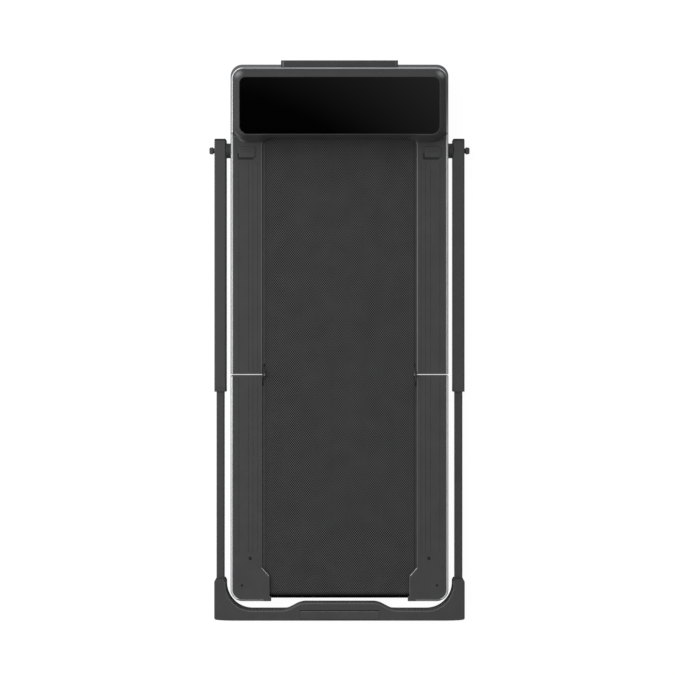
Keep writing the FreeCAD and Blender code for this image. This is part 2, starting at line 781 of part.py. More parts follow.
# Rear foot rails: the same covers, with end blocks that step in over the belt, and two screws each
REAR_COVER_END = f"({RETURN_Y} + cover_fit)"
STEP_START = f"(end_block_length - {DECK_BACK})"
rear_plate = prism(
    "rear_plate",
    "xy",
    [
        (COVER_INNER, REAR_EDGE),
        (COVER_INNER, STEP_START),
        (BLOCK_INNER, f"{STEP_START} - end_block_slope"),
        (BLOCK_INNER, f"-{DECK_BACK}"),
        (f"{RETURN_INNER} - cover_fit", f"-{DECK_BACK}"),
        (f"{RETURN_INNER} - cover_fit", REAR_COVER_END),
        (COVER_OUTER, REAR_COVER_END),
        (COVER_OUTER, REAR_EDGE),
    ],
    *PLATE_Z,
    rounds=[((6,), "corner_round - rail_wall - cover_fit")],
)
rear_skirt = box(
    "rear_skirt",
    (COVER_INNER, f"{COVER_INNER} + cover_skirt"),
    (STEP_START, REAR_EDGE),
    (SKIRT_BOTTOM, PLATE_Z[0]),
)
rear_lip = box(
    "rear_lip",
    (FRONT_LEAF_X, f"{COVER_INNER} + cover_skirt"),
    (f"{STEP_START} - end_block_slope", REAR_LIP_START),
    LIP_Z,
)
rear_lip_end = box(
    "rear_lip_end",
    (FRONT_LEAF_X, f"{FRONT_LEAF_X} + leaf_thick"),
    (f"{REAR_LIP_START} - cover_lip", REAR_EDGE),
    LIP_Z,
)
rear_inside = [rear_skirt, rear_lip, rear_lip_end]
BLOCK_TOP = f"{ROLLER_Z} + bracket_over_axle"
SCREWS = {
    "large": (on_foot_rail("screw_large"), SCREW_LARGE_Y, "screw_large_radius", BEAM_TOP),
    "small": (on_foot_rail("screw_small"), SCREW_SMALL_Y, "screw_small_radius", BLOCK_TOP),
}
rear_bosses = [boss(f"rear_boss_{n}", BOSS_X, y, BEAM_TOP) for n, y in enumerate(REAR_BEAMS[:2])]
screw_holes = []
screws = []
for kind, (x, y, head_radius, seat) in SCREWS.items():
    rear_bosses.append(boss(f"screw_boss_{kind}", x, y, seat))
    head_z = (f"{RAIL_TOP} - screw_head_depth", RAIL_TOP)
    shank_z = (seat, head_z[0])
    wide = rod(f"hole_{kind}", "z", *head_z, (x, y), f"{head_radius} + screw_fit")
    narrow = rod(f"bore_{kind}", "z", *shank_z, (x, y), "screw_shank_radius + screw_fit")
    screw_holes += [wide, narrow]
    head = rod(f"head_{kind}", "z", *head_z, (x, y), head_radius)
    shank = rod(f"shank_{kind}", "z", *shank_z, (x, y), "screw_shank_radius")
    screw = fuse(f"screw_{kind}", head, shank)
    screws += [screw, mirrored(f"screw_{kind}_other", screw)]
rear_shape = fuse("rear_cover_shape", rear_plate, *rear_inside, *rear_bosses)
left_and_right("rear_cover", cut("rear_cover", rear_shape, *screw_holes))
group("rear_cover_screws", *screws)


# Fold hinges: steel leaves beside the belt, lapped on a pin just above the covers
def leaf(name, x, foot_near, foot_far, pin_radius):
    across = (x, f"{x} + leaf_thick")
    eye_centre = ("-fold_back", FOLD_Z)
    arm = prism(
        name + "_arm",
        "yz",
        [
            ("-fold_back", f"{FOLD_Z} - leaf_eye_radius"),
            (foot_near, BEAM_TOP),
            (foot_far, BEAM_TOP),
            ("-fold_back", f"{FOLD_Z} + leaf_eye_radius"),
        ],
        *across,
    )
    eye = rod(name + "_eye", "x", *across, eye_centre, "leaf_eye_radius")
    hole = rod(name + "_hole", "x", *across, eye_centre, pin_radius)
    return cut(name, fuse(name + "_solid", arm, eye), hole)


FOOT_NEAR = "(beam_from_fold - leaf_foot_length / 2)"
FOOT_FAR = "(beam_from_fold + leaf_foot_length / 2)"
PIN_BORE = "hinge_pin_radius + running_fit"
front_feet_y = (f"{FOOT_NEAR} - fold_back", f"{FOOT_FAR} - fold_back")
rear_feet_y = (f"-{FOOT_NEAR} - fold_back", f"-{FOOT_FAR} - fold_back")
pair("rear_hinge_leaves", leaf("rear_leaf", REAR_LEAF_X, *rear_feet_y, PIN_BORE))
PIN_X = (FRONT_LEAF_X, f"{REAR_LEAF_X} + leaf_thick")
hinge_pin = rod("hinge_pin", "x", *PIN_X, ("-fold_back", FOLD_Z), "hinge_pin_radius")
front_leaf = leaf("front_leaf", FRONT_LEAF_X, *front_feet_y, PIN_BORE)
front_hinge = [front_leaf, mirrored("front_leaf_other", front_leaf)]
front_hinge += [hinge_pin, mirrored("hinge_pin_other", hinge_pin)]
group("front_hinge_leaves", *front_hinge)


# Motor hood: a drafted shell with rounded corners, a seat for the glass, a window and screw posts
def hood_form(name, inset, top):
    body = doc.addObject("PartDesign::Body", name)
    wedge = body.newObject("PartDesign::AdditiveWedge", name + "_wedge")
    half_width = f"{COVER_OUTER} - {inset}"
    front = f"{HOOD_FRONT} - {inset}"
    rear = f"{HOOD_REAR} + {inset}"
    places = {
        "Xmin": f"-({half_width})",
        "Xmax": half_width,
        "X2min": f"hood_side_draft - ({half_width})",
        "X2max": f"{half_width} - hood_side_draft",
        "Ymin": RAIL_TOP,
        "Ymax": top,
        "Zmin": f"-({front})",
        "Zmax": f"-({rear})",
        "Z2min": f"hood_front_draft - ({front})",
        "Z2max": f"-({rear}) - hood_rear_draft",
    }
    for place, text in places.items():
        wedge.setExpression(place, on_sheet(text))
    doc.recompute()
    rounded(body, f"hood_round - {inset}", lambda edge: edge.BoundBox.YLength > size("hood_round"))
    body.Placement = FreeCAD.Placement(FreeCAD.Vector(), FreeCAD.Rotation(FreeCAD.Vector(1, 0, 0), 90))
    return body


hood_outside = hood_form("hood_outside", "0", HOOD_TOP)
rounded(
    hood_outside,
    "hood_edge_round",
    lambda edge: edge.BoundBox.YMin > size(f"{HOOD_TOP} - hood_edge_round"),
)
hood_inside = hood_form("hood_inside", "hood_wall", ROOF_BELOW)
PLATEAU_HALF = f"({COVER_OUTER} - hood_side_draft)"
PLATEAU_FRONT = f"({HOOD_FRONT} - hood_front_draft)"
PLATEAU_REAR = f"({HOOD_REAR} + hood_rear_draft)"


def glass_plate(name, fit, low, high):
    half_width = f"{PLATEAU_HALF} - glass_side_margin + {fit}"
    return prism(
        name,
        "xy",
        rectangle(
            (f"-({half_width})", f"{PLATEAU_REAR} + glass_rear_margin - {fit}"),
            (half_width, f"{PLATEAU_FRONT} - glass_front_margin + {fit}"),
        ),
        low,
        high,
        rounds=[((0, 1), "glass_rear_round"), ((2, 3), "glass_front_round")],
    )


glass_seat = glass_plate("glass_seat", "glass_fit", GLASS_BELOW, f"{HOOD_TOP} + glass_thick")
DISPLAY_Y = f"(({PLATEAU_REAR} + {PLATEAU_FRONT}) / 2)"
window = box(
    "hood_window",
    ("-window_half_width", "window_half_width"),
    (f"{DISPLAY_Y} - window_length / 2", f"{DISPLAY_Y} + window_length / 2"),
    (ROOF_BELOW, HOOD_TOP),
)
posts = []
for number, ahead in enumerate(("post_rear", "post_front")):
    centre = (f"{RAIL_INNER} - post_inset", f"{FRONT_ROLLER_Y} + {ahead}")
    post = rod(f"hood_post_{number}", "z", PAN_TOP, ROOF_BELOW, centre, "post_radius")
    posts += [post, mirrored(f"hood_post_{number}_other", post)]
hood_shell = cut("hood_shell", hood_outside, hood_inside, glass_seat, window)
node("motor_hood", fuse("motor_hood", hood_shell, *posts))
node("display_glass", glass_plate("display_glass", "0", GLASS_BELOW, f"{GLASS_BELOW} + glass_thick"))

# Belly pan: a steel tray across the nose flanges, open round the transport wheels
pan_half = f"({RAIL_INNER} - pan_inset)"
pan_plate = prism(
    "pan_plate",
    "xy",
    [
        (f"-{pan_half}", PAN_REAR),
        (pan_half, PAN_REAR),
        (pan_half, f"{PAN_FRONT} - pan_corner"),
        (f"{pan_half} - pan_corner", PAN_FRONT),
        (f"pan_corner - {pan_half}", PAN_FRONT),
        (f"-{pan_half}", f"{PAN_FRONT} - pan_corner"),
    ],
    FLANGE_TOP,
    PAN_TOP,
)
WHEEL_X = (f"{WHEEL_SIDE} - wheel_width / 2", f"{WHEEL_SIDE} + wheel_width / 2")
wheel_slot = box(
    "wheel_slot",
    (f"{WHEEL_X[0]} - wheel_room", f"{WHEEL_X[1]} + wheel_room"),
    (f"{WHEEL_Y} - wheel_radius - wheel_room", f"{WHEEL_Y} + wheel_radius + wheel_room"),
    (FLANGE_TOP, PAN_TOP),
)
node("belly_pan", cut("belly_pan", pan_plate, wheel_slot, mirrored("wheel_slot_other", wheel_slot)))

# Transport wheels: hard wheels on short axles between two fork plates that stand on the pan
WHEEL_CENTRE = (WHEEL_Y, WHEEL_Z)
FORK_STARTS = {
    "in": f"{WHEEL_X[0]} - wheel_room - fork_thick",
    "out": f"{WHEEL_X[1]} + wheel_room",
}
fork_parts = []
for side, start in FORK_STARTS.items():
    plate = box(
        f"fork_{side}_plate",
        (start, f"{start} + fork_thick"),
        (f"{WHEEL_Y} - fork_half_length", f"{WHEEL_Y} + fork_half_length"),
        (PAN_TOP, f"{WHEEL_Z} + fork_over_axle"),
    )
    eye = rod(
        f"fork_{side}_eye",
        "x",
        start,
        f"{start} + fork_thick",
        WHEEL_CENTRE,
        "wheel_axle_radius + running_fit",
    )
    fork = cut(f"fork_{side}", plate, eye)
    fork_parts += [fork, mirrored(f"fork_{side}_other", fork)]
axle_ends = (f"{WHEEL_X[0]} - wheel_room - fork_thick", f"{WHEEL_X[1]} + wheel_room + fork_thick")
wheel_axle = rod("wheel_axle", "x", *axle_ends, WHEEL_CENTRE, "wheel_axle_radius")
group("wheel_forks", *fork_parts, wheel_axle, mirrored("wheel_axle_other", wheel_axle))
tyre = rod("tyre", "x", *WHEEL_X, WHEEL_CENTRE, "wheel_radius")
wheel_bore = rod("wheel_bore", "x", *WHEEL_X, WHEEL_CENTRE, "wheel_axle_radius + running_fit")
left_and_right("transport_wheel", cut("transport_wheel", tyre, wheel_bore))

# Drive motor: a can on a saddle, with its shaft, pulley and belt to the front roller
MOTOR_CENTRE = (MOTOR_Y, "motor_height")
motor_can = rod("motor_can", "x", MOTOR_LEFT, MOTOR_RIGHT, MOTOR_CENTRE, "motor_radius")
motor_bore = rod(
    "motor_bore", "x", MOTOR_LEFT, MOTOR_RIGHT, MOTOR_CENTRE, "shaft_radius + running_fit"
)
node("drive_motor", cut("drive_motor", motor_can, motor_bore))
saddle_block = box(
    "saddle_block",
    (f"{MOTOR_LEFT} + saddle_margin", f"{MOTOR_RIGHT} - saddle_margin"),
    (f"{MOTOR_Y} - saddle_half_length", f"{MOTOR_Y} + saddle_half_length"),
    (PAN_TOP, "motor_height - motor_radius + saddle_rise"),
)
saddle_bore = rod(
    "saddle_bore", "x", MOTOR_LEFT, MOTOR_RIGHT, MOTOR_CENTRE, "motor_radius + running_fit"
)
node("motor_saddle", cut("motor_saddle", saddle_block, saddle_bore))
SHAFT_X = (f"{MOTOR_LEFT} - shaft_past_motor", f"{PULLEY_END} + shaft_past_pulley")
node("motor_shaft", rod("motor_shaft", "x", *SHAFT_X, MOTOR_CENTRE, "shaft_radius"))
motor_wheel = rod("motor_wheel", "x", PULLEY_X, PULLEY_END, MOTOR_CENTRE, "motor_pulley_radius")
wheel_eye = rod("wheel_eye", "x", PULLEY_X, PULLEY_END, MOTOR_CENTRE, "shaft_radius + running_fit")
node("motor_pulley", cut("motor_pulley", motor_wheel, wheel_eye))
ROLLER_CENTRE = (FRONT_ROLLER_Y, ROLLER_Z)
pulley_rim = rod("pulley_rim", "x", PULLEY_X, PULLEY_END, ROLLER_CENTRE, "roller_pulley_radius")
pulley_hub = rod("pulley_hub", "x", ROLLER_END, PULLEY_X, ROLLER_CENTRE, "pulley_hub_radius")
pulley_eye = rod("pulley_eye", "x", ROLLER_END, PULLEY_END, ROLLER_CENTRE, "axle_radius + moving_gap")
node("roller_pulley", cut("roller_pulley", fuse("pulley_solid", pulley_rim, pulley_hub), pulley_eye))


def loop_face(x, roller_radius, motor_radius):
    """The face inside a belt line drawn tightly round the two pulleys."""
    roller_spot = FreeCAD.Vector(x, size(FRONT_ROLLER_Y), size(ROLLER_Z))
    motor_spot = FreeCAD.Vector(x, size(MOTOR_Y), size("motor_height"))
    line = motor_spot - roller_spot
    heading = math.atan2(line.z, line.y)
    lean = math.acos((roller_radius - motor_radius) / line.Length)

    def rim(centre, radius, angle):
        return centre + FreeCAD.Vector(0, radius * math.cos(angle), radius * math.sin(angle))

    upper = [rim(roller_spot, roller_radius, heading + lean), rim(motor_spot, motor_radius, heading + lean)]
    lower = [rim(motor_spot, motor_radius, heading - lean), rim(roller_spot, roller_radius, heading - lean)]
    near = rim(motor_spot, motor_radius, heading)
    far = rim(roller_spot, roller_radius, heading + math.pi)
    curves = [
        Part.LineSegment(*upper),
        Part.Arc(upper[1], near, lower[0]),
        Part.LineSegment(*lower),
        Part.Arc(lower[1], far, upper[0]),
    ]
    return Part.Face(Part.Wire([curve.toShape() for curve in curves]))


# Drive belt: a ribbed rubber loop, drawn round the two pulleys with a hair of slack
belt_start = size(f"{PULLEY_X} + drive_belt_inset")
belt_run = FreeCAD.Vector(size(f"{PULLEY_END} - {PULLEY_X} - 2 * drive_belt_inset"), 0, 0)
gap = size("moving_gap")
thick = size("drive_belt_thick")
pulleys = (size("roller_pulley_radius"), size("motor_pulley_radius"))
outer_face = loop_face(belt_start, *[radius + gap + thick for radius in pulleys])
inner_face = loop_face(belt_start, *[radius + gap for radius in pulleys])
drive_belt = doc.addObject("Part::Feature", "drive_belt")
drive_belt.Shape = outer_face.extrude(belt_run).cut(inner_face.extrude(belt_run))
drive_belt.Placement = FreeCAD.Placement()
node("drive_belt", drive_belt)

# Control board: a plate on standoffs over the pan, with a heat sink and two capacitors
CONTROL_X = f"(control_board_from_wheel - {WHEEL_SIDE})"
CONTROL_Y = f"({FRONT_ROLLER_Y} + control_board_ahead)"
CONTROL_Z = (f"{PAN_TOP} + standoff_height", f"{PAN_TOP} + standoff_height + board_plate_thick")
control_parts = [
    box(
        "control_plate",
        (f"{CONTROL_X} - control_board_half_width", f"{CONTROL_X} + control_board_half_width"),
        (f"{CONTROL_Y} - control_board_half_length", f"{CONTROL_Y} + control_board_half_length"),
        CONTROL_Z,
    ),
    box(
        "heat_sink",
        (f"{CONTROL_X} - heat_sink_half_width", f"{CONTROL_X} + heat_sink_half_width"),
        (f"{CONTROL_Y} - heat_sink_half_width", f"{CONTROL_Y} + heat_sink_half_width"),
        (CONTROL_Z[1], f"{CONTROL_Z[1]} + heat_sink_height"),
    ),
]
for number, sign in enumerate("-+"):
    capacitor_x = f"{CONTROL_X} {sign} capacitor_offset"
    control_parts.append(
        rod(
            f"capacitor_{number}",
            "z",
            CONTROL_Z[1],
            f"{CONTROL_Z[1]} + capacitor_height",
            (capacitor_x, CONTROL_Y),
            "capacitor_radius",
        )
    )
    for end, along in enumerate("-+"):
        spot = (
            f"{CONTROL_X} {sign} (control_board_half_width - 2 * standoff_radius)",
            f"{CONTROL_Y} {along} (control_board_half_length - 2 * standoff_radius)",
        )
        control_parts.append(
            rod(f"control_standoff_{number}{end}", "z", PAN_TOP, CONTROL_Z[0], spot, "standoff_radius")
        )

# Display board: a plate hung from the hood's roof on four spacers, under the window
DISPLAY_Z = (f"{ROOF_BELOW} - standoff_height - board_plate_thick", f"{ROOF_BELOW} - standoff_height")
display_parts = [
    box(
        "display_plate",
        ("-display_board_half_width", "display_board_half_width"),
        (f"{DISPLAY_Y} - display_board_half_length", f"{DISPLAY_Y} + display_board_half_length"),
        DISPLAY_Z,
    )
]
for number, sign in enumerate("-+"):
    for end, along in enumerate("-+"):
        spot = (
            f"{sign}(display_board_half_width - 2 * standoff_radius)",
            f"{DISPLAY_Y} {along} (display_board_half_length - standoff_radius)",
        )
        display_parts.append(
            rod(f"display_spacer_{number}{end}", "z", DISPLAY_Z[1], ROOF_BELOW, spot, "standoff_radius")
        )
group("circuit_boards", *control_parts, *display_parts)

# Mains inlet: a housing in the nose wall, with a socket with three contacts and a switch well
INLET_BACK = f"({DECK_FRONT} - inlet_depth)"
SOCKET_X = (f"{INLET_X[1]} - socket_wall - socket_width", f"{INLET_X[1]} - socket_wall")
SOCKET_Z = (f"{INLET_Z[0]} + socket_wall", f"{INLET_Z[1]} - socket_wall")
SOCKET_BACK = f"({DECK_FRONT} - socket_depth)"
ROCKER_START = f"{INLET_X[0]} + socket_wall + rocker_room"
ROCKER_X = (ROCKER_START, f"{ROCKER_START} + rocker_width")
ROCKER_Z = f"({INLET_Z[0]} + inlet_height / 2)"
ROCKER_Y = f"({DECK_FRONT} - rocker_thick / 2)"
inlet_block = box("inlet_block", INLET_X, (INLET_BACK, DECK_FRONT), INLET_Z)
socket = box("socket", SOCKET_X, (SOCKET_BACK, DECK_FRONT), SOCKET_Z)
switch_well = box(
    "switch_well",
    (f"{ROCKER_X[0]} - rocker_room", f"{ROCKER_X[1]} + rocker_room"),
    (f"{ROCKER_Y} - rocker_thick", DECK_FRONT),
    (f"{ROCKER_Z} - rocker_height / 2 - rocker_room", f"{ROCKER_Z} + rocker_height / 2 + rocker_room"),
)
PIN_ENDS = (f"{ROCKER_X[0]} - 2 * rocker_room", f"{ROCKER_X[1]} + 2 * rocker_room")
ROCKER_CENTRE = (ROCKER_Y, ROCKER_Z)
pin_bore = rod("rocker_pin_bore", "x", *PIN_ENDS, ROCKER_CENTRE, "rocker_pin_radius + running_fit")
inlet_body = cut("inlet_body", inlet_block, socket, switch_well, pin_bore)
SOCKET_MID = f"({SOCKET_X[0]} + socket_width / 2)"
contacts = []
for number, offset in enumerate(("- contact_spread", "", "+ contact_spread")):
    middle = f"{SOCKET_MID} {offset}"
    contacts.append(
        box(
            f"contact_{number}",
            (f"{middle} - contact_width / 2", f"{middle} + contact_width / 2"),
            (SOCKET_BACK, f"{DECK_FRONT} - contact_short"),
            (f"{ROCKER_Z} - contact_height / 2", f"{ROCKER_Z} + contact_height / 2"),
        )
    )
group("power_inlet", inlet_body, *contacts)

# Switch rocker: a bar on a pin in the switch well, resting tipped to its off side
ROCKER_CORNER = ("rocker_thick / 2", "rocker_height / 2")
rocker_outline = rectangle([f"-{place}" for place in ROCKER_CORNER], ROCKER_CORNER)
rocker_bar = prism("rocker_bar", "yz", rocker_outline, *ROCKER_X)
tipped = FreeCAD.Rotation(FreeCAD.Vector(1, 0, 0), size("rocker_tilt"))
rocker_bar.Placement = FreeCAD.Placement(rocker_bar.Placement.Base, tipped)
rocker_bar.setExpression("Placement.Base.y", on_sheet(ROCKER_Y))
rocker_bar.setExpression("Placement.Base.z", on_sheet(ROCKER_Z))
rocker_pin = rod("rocker_pin", "x", *PIN_ENDS, ROCKER_CENTRE, "rocker_pin_radius")
node("switch_rocker", fuse("switch_rocker", rocker_bar, rocker_pin))

# Standing bar: a rubber-faced bar across the nose, on which the folded pad stands up
STAND_FRONT = f"({DECK_FRONT} + stand_depth)"
node(
    "stand_bar",
    prism(
        "stand_bar",
        "yz",
        [
            (DECK_FRONT, "stand_bottom"),
            (STAND_FRONT, "stand_bottom + stand_slope"),
            (STAND_FRONT, f"{RAIL_TOP} + stand_lip - stand_slope"),
            (f"{STAND_FRONT} - stand_slope", f"{RAIL_TOP} + stand_lip"),
            (f"{DECK_FRONT} - stand_lip_reach", f"{RAIL_TOP} + stand_lip"),
            (f"{DECK_FRONT} - stand_lip_reach", RAIL_TOP),
            (DECK_FRONT, RAIL_TOP),
        ],
        "-stand_half_width",
        "stand_half_width",
    ),
)

# Handrail pivots: a bolt through each rail, a spacer boss outside it, and a clamp knob on its end
BOSS_ENDS = ("deck_half_width", "deck_half_width + boss_length")
boss_disc = rod("boss_disc", "x", *BOSS_ENDS, PIVOT, "boss_outer_radius")
boss_eye = rod("boss_eye", "x", *BOSS_ENDS, PIVOT, BOLT_HOLE)
pair("pivot_bosses", cut("pivot_boss", boss_disc, boss_eye))
BOLT_END = f"{KNOB_X} + knob_cap"
bolt_shank = rod("bolt_shank", "x", RAIL_INNER, BOLT_END, PIVOT, "pivot_bolt_radius")
HEAD_ENDS = (f"{RAIL_INNER} - bolt_head_length", RAIL_INNER)
bolt_head = rod("bolt_head", "x", *HEAD_ENDS, PIVOT, "bolt_head_radius")
pair("pivot_bolts", fuse("pivot_bolt", bolt_shank, bolt_head))
KNOB_ENDS = (KNOB_X, f"{KNOB_X} + knob_length")
knob_core = rod("knob_core", "x", *KNOB_ENDS, PIVOT, "knob_radius")
knob_wings = box(
    "knob_wings",
    KNOB_ENDS,
    (f"{PIVOT_Y} - knob_wing", f"{PIVOT_Y} + knob_wing"),
    ("pivot_height - knob_wing_thick / 2", "pivot_height + knob_wing_thick / 2"),
)
knob_eye = rod("knob_eye", "x", KNOB_X, f"{BOLT_END} + running_fit", PIVOT, BOLT_HOLE)
left_and_right("clamp_knob", cut("clamp_knob", fuse("knob_solid", knob_core, knob_wings), knob_eye))


# Uprights: rounded flat tubes from the pivots, each with an end cap and a lower collar
def section(name, width, depth, low, high, corner):
    """A rounded bar along Y, about the handrail's own middle line."""
    return prism(
        name,
        "xz",
        rectangle(
            (f"{TUBE_X} - ({width}) / 2", f"pivot_height - ({depth}) / 2"),
            (f"{TUBE_X} + ({width}) / 2", f"pivot_height + ({depth}) / 2"),
        ),
        low,
        high,
        rounds=[((0, 1, 2, 3), corner)],
    )


TUBE_ENDS = (COLLAR_FRONT, f"{TUBE_FRONT} - cap_length")
tube_outside = section("tube_outside", "tube_width", "tube_depth", *TUBE_ENDS, "tube_round")
tube_inside = section(
    "tube_inside",
    "tube_width - 2 * tube_wall",
    "tube_depth - 2 * tube_wall",
    *TUBE_ENDS,
    "tube_round - tube_wall",
)
tube_hole = rod("tube_hole", "x", TUBE_INNER, TUBE_OUTER, PIVOT, BOLT_HOLE)
left_and_right("upright", cut("upright", tube_outside, tube_inside, tube_hole))
cap = section("upright_cap", "tube_width", "tube_depth", TUBE_ENDS[1], TUBE_FRONT, "tube_round")
COLLAR_ENDS = (TUBE_BACK, COLLAR_FRONT)
collar_outside = section("collar_outside", "tube_width", "tube_depth", *COLLAR_ENDS, "tube_round")
collar_inside = section(
    "collar_inside",
    "inner_width + 2 * slide_fit",
    "inner_depth + 2 * slide_fit",
    *COLLAR_ENDS,
    "inner_round + slide_fit",
)
collar = cut("upright_collar", collar_outside, collar_inside)
end_pieces = [cap, mirrored("upright_cap_other", cap), collar, mirrored("upright_collar_other", collar)]
group("upright_end_pieces", *end_pieces)

# Inner tubes: they slide in the uprights, each with a plastic bush on its hidden end
INNER_FRONT = f"({COLLAR_FRONT} + inner_overlap)"
INNER_ENDS = (BAR_MOUTH_Y, INNER_FRONT)
inner_outside = section("inner_outside", "inner_width", "inner_depth", *INNER_ENDS, "inner_round")
inner_inside = section(
    "inner_inside",
    "inner_width - 2 * inner_wall",
    "inner_depth - 2 * inner_wall",
    *INNER_ENDS,
    "inner_round - inner_wall",
)
pair("inner_tubes", cut("inner_tube", inner_outside, inner_inside))
bush = section(
    "slide_bush",
    "tube_width - 2 * tube_wall - 2 * slide_fit",
    "tube_depth - 2 * tube_wall - 2 * slide_fit",
    INNER_FRONT,
    f"{INNER_FRONT} + bush_length",
    "tube_round - tube_wall - slide_fit",
)
pair("slide_bushes", bush)

# Handlebar: two bent corners and a middle bridge with a ledge towards the deck
SHOULDER_Y = f"({BAR_MOUTH_Y} - bar_shoulder_length)"
corner = prism(
    "handle_corner",
    "xy",
    [
        (TUBE_INNER, SHOULDER_Y),
        (f"{TUBE_INNER} + bar_shoulder", BAR_MOUTH_Y),
        (f"{TUBE_OUTER} - bar_shoulder", BAR_MOUTH_Y),
        (TUBE_OUTER, SHOULDER_Y),
        (TUBE_OUTER, BAR_BACK),
        ("bridge_half_width", BAR_BACK),
        ("bridge_half_width", BAR_INNER_Y),
        (TUBE_INNER, BAR_INNER_Y),
    ],
    "bar_bottom",
    BAR_TOP,
    rounds=[((4,), "bar_outer_round"), ((7,), "bar_inner_round")],
)
left_and_right("handle_corner", corner)
bridge_bar = box(
    "bridge_bar",
    ("-bridge_half_width", "bridge_half_width"),
    (BAR_BACK, BAR_INNER_Y),
    ("bar_bottom", BAR_TOP),
)
bridge_ledge = prism(
    "bridge_ledge",
    "xy",
    [
        ("-bridge_half_width", BAR_INNER_Y),
        ("bridge_half_width", BAR_INNER_Y),
        ("bump_half_width", f"{BAR_INNER_Y} + bump"),
        ("-bump_half_width", f"{BAR_INNER_Y} + bump"),
    ],
    f"{BAR_TOP} - bump_depth",
    BAR_TOP,
)
bridge = fuse("bridge_solid", bridge_bar, bridge_ledge)
GRIP_Y = (BAR_BACK, f"{BAR_BACK} + grip_width")
GRIP_Z = (f"{BAR_TOP} - grip_depth", BAR_TOP)
grip_seat = box(
    "grip_seat",
    ("-grip_half_width - grip_fit", "grip_half_width + grip_fit"),
    (GRIP_Y[0], f"{GRIP_Y[1]} + grip_fit"),
    GRIP_Z,
)
node("handle_bridge", cut("handle_bridge", bridge, grip_seat))
node("grip_pad", box("grip_pad", ("-grip_half_width", "grip_half_width"), GRIP_Y, GRIP_Z))

doc.recompute()
faults = [item.Name for item in doc.Objects if {"Invalid", "Error"} & set(item.State)]
faults += [piece.Label for piece in NODES if piece.Shape.isNull() or not piece.Shape.isValid()]
if faults:
    raise RuntimeError("these objects failed: " + ", ".join(faults))
os.makedirs("parts", exist_ok=True)
for piece in NODES:
    piece.Shape.exportStep(f"parts/{piece.Label}.step")
print(len(NODES), "sub-parts written")
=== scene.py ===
import math

import bmesh
import bpy
from mathutils import Matrix, Vector
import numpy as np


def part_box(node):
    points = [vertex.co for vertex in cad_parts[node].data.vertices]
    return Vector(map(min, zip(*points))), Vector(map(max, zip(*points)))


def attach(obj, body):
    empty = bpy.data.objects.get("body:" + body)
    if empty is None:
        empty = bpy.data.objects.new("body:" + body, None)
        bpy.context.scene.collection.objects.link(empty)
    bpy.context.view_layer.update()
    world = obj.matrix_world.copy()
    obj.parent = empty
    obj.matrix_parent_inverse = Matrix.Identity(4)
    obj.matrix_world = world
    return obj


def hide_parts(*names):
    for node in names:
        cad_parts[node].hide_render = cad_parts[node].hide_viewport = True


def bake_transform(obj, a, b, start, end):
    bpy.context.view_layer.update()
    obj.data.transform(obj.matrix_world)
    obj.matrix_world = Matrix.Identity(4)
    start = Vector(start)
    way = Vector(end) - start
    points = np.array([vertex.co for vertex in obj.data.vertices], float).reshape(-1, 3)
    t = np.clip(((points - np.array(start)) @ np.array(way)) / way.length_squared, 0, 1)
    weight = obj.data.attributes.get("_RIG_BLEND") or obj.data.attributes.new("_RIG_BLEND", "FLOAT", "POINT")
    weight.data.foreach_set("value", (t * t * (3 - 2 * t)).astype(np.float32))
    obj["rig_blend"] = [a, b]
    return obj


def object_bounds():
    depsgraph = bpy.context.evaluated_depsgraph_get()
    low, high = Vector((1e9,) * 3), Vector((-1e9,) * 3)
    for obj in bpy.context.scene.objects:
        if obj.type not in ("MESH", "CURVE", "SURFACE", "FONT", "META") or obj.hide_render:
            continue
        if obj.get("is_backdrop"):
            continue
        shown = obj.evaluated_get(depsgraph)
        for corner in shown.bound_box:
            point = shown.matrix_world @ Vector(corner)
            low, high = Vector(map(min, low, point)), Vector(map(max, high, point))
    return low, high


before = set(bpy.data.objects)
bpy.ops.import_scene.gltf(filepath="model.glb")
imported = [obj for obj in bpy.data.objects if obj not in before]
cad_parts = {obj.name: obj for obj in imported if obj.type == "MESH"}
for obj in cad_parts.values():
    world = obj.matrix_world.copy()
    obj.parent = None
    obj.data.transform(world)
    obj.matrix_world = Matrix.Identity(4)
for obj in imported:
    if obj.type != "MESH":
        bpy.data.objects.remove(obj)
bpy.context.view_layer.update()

# Side rails and nose frame: aluminium extrusions that carry the deck on both sides, bent
# round the front and rear corners, bead blasted and anodised in natural silver, which gives
# a soft, slightly streaked metal sheen. Faces that point up are painted bright and the others
# darker: a painted highlight and painted shade.
MM = 0.001
COLOUR_A, COLOUR_B, COLOUR_OUT = 6, 7, 2
BLOTCH_SCALE = 0.03
GRAIN_SPREAD = (0.7, 1.3)


def srgb(text):
    """A hex colour as linear red, green, blue and alpha."""
    parts = [int(text[start:start + 2], 16) / 255 for start in (1, 3, 5)]
    return [p / 12.92 if p < 0.04045 else ((p + 0.055) / 1.055) ** 2.4 for p in parts] + [1]


def add_node(tree, kind, inputs=None, **settings):
    """Add a node with its settings, and give its inputs values or links."""
    node = tree.nodes.new(kind)
    for name, value in settings.items():
        setattr(node, name, value)
    for socket, value in (inputs or {}).items():
        if isinstance(value, bpy.types.NodeSocket):
            tree.links.new(value, node.inputs[socket])
        else:
            node.inputs[socket].default_value = value
    return node


def new_material(name, **sockets):
    """A material with one principled shader, whose fixed sockets are set here."""
    material = bpy.data.materials.new(name)
    material.use_nodes = True
    tree = material.node_tree
    shader = tree.nodes["Principled BSDF"]
    for socket, value in sockets.items():
        shader.inputs[socket.replace("_", " ")].default_value = value
    return material, tree, shader


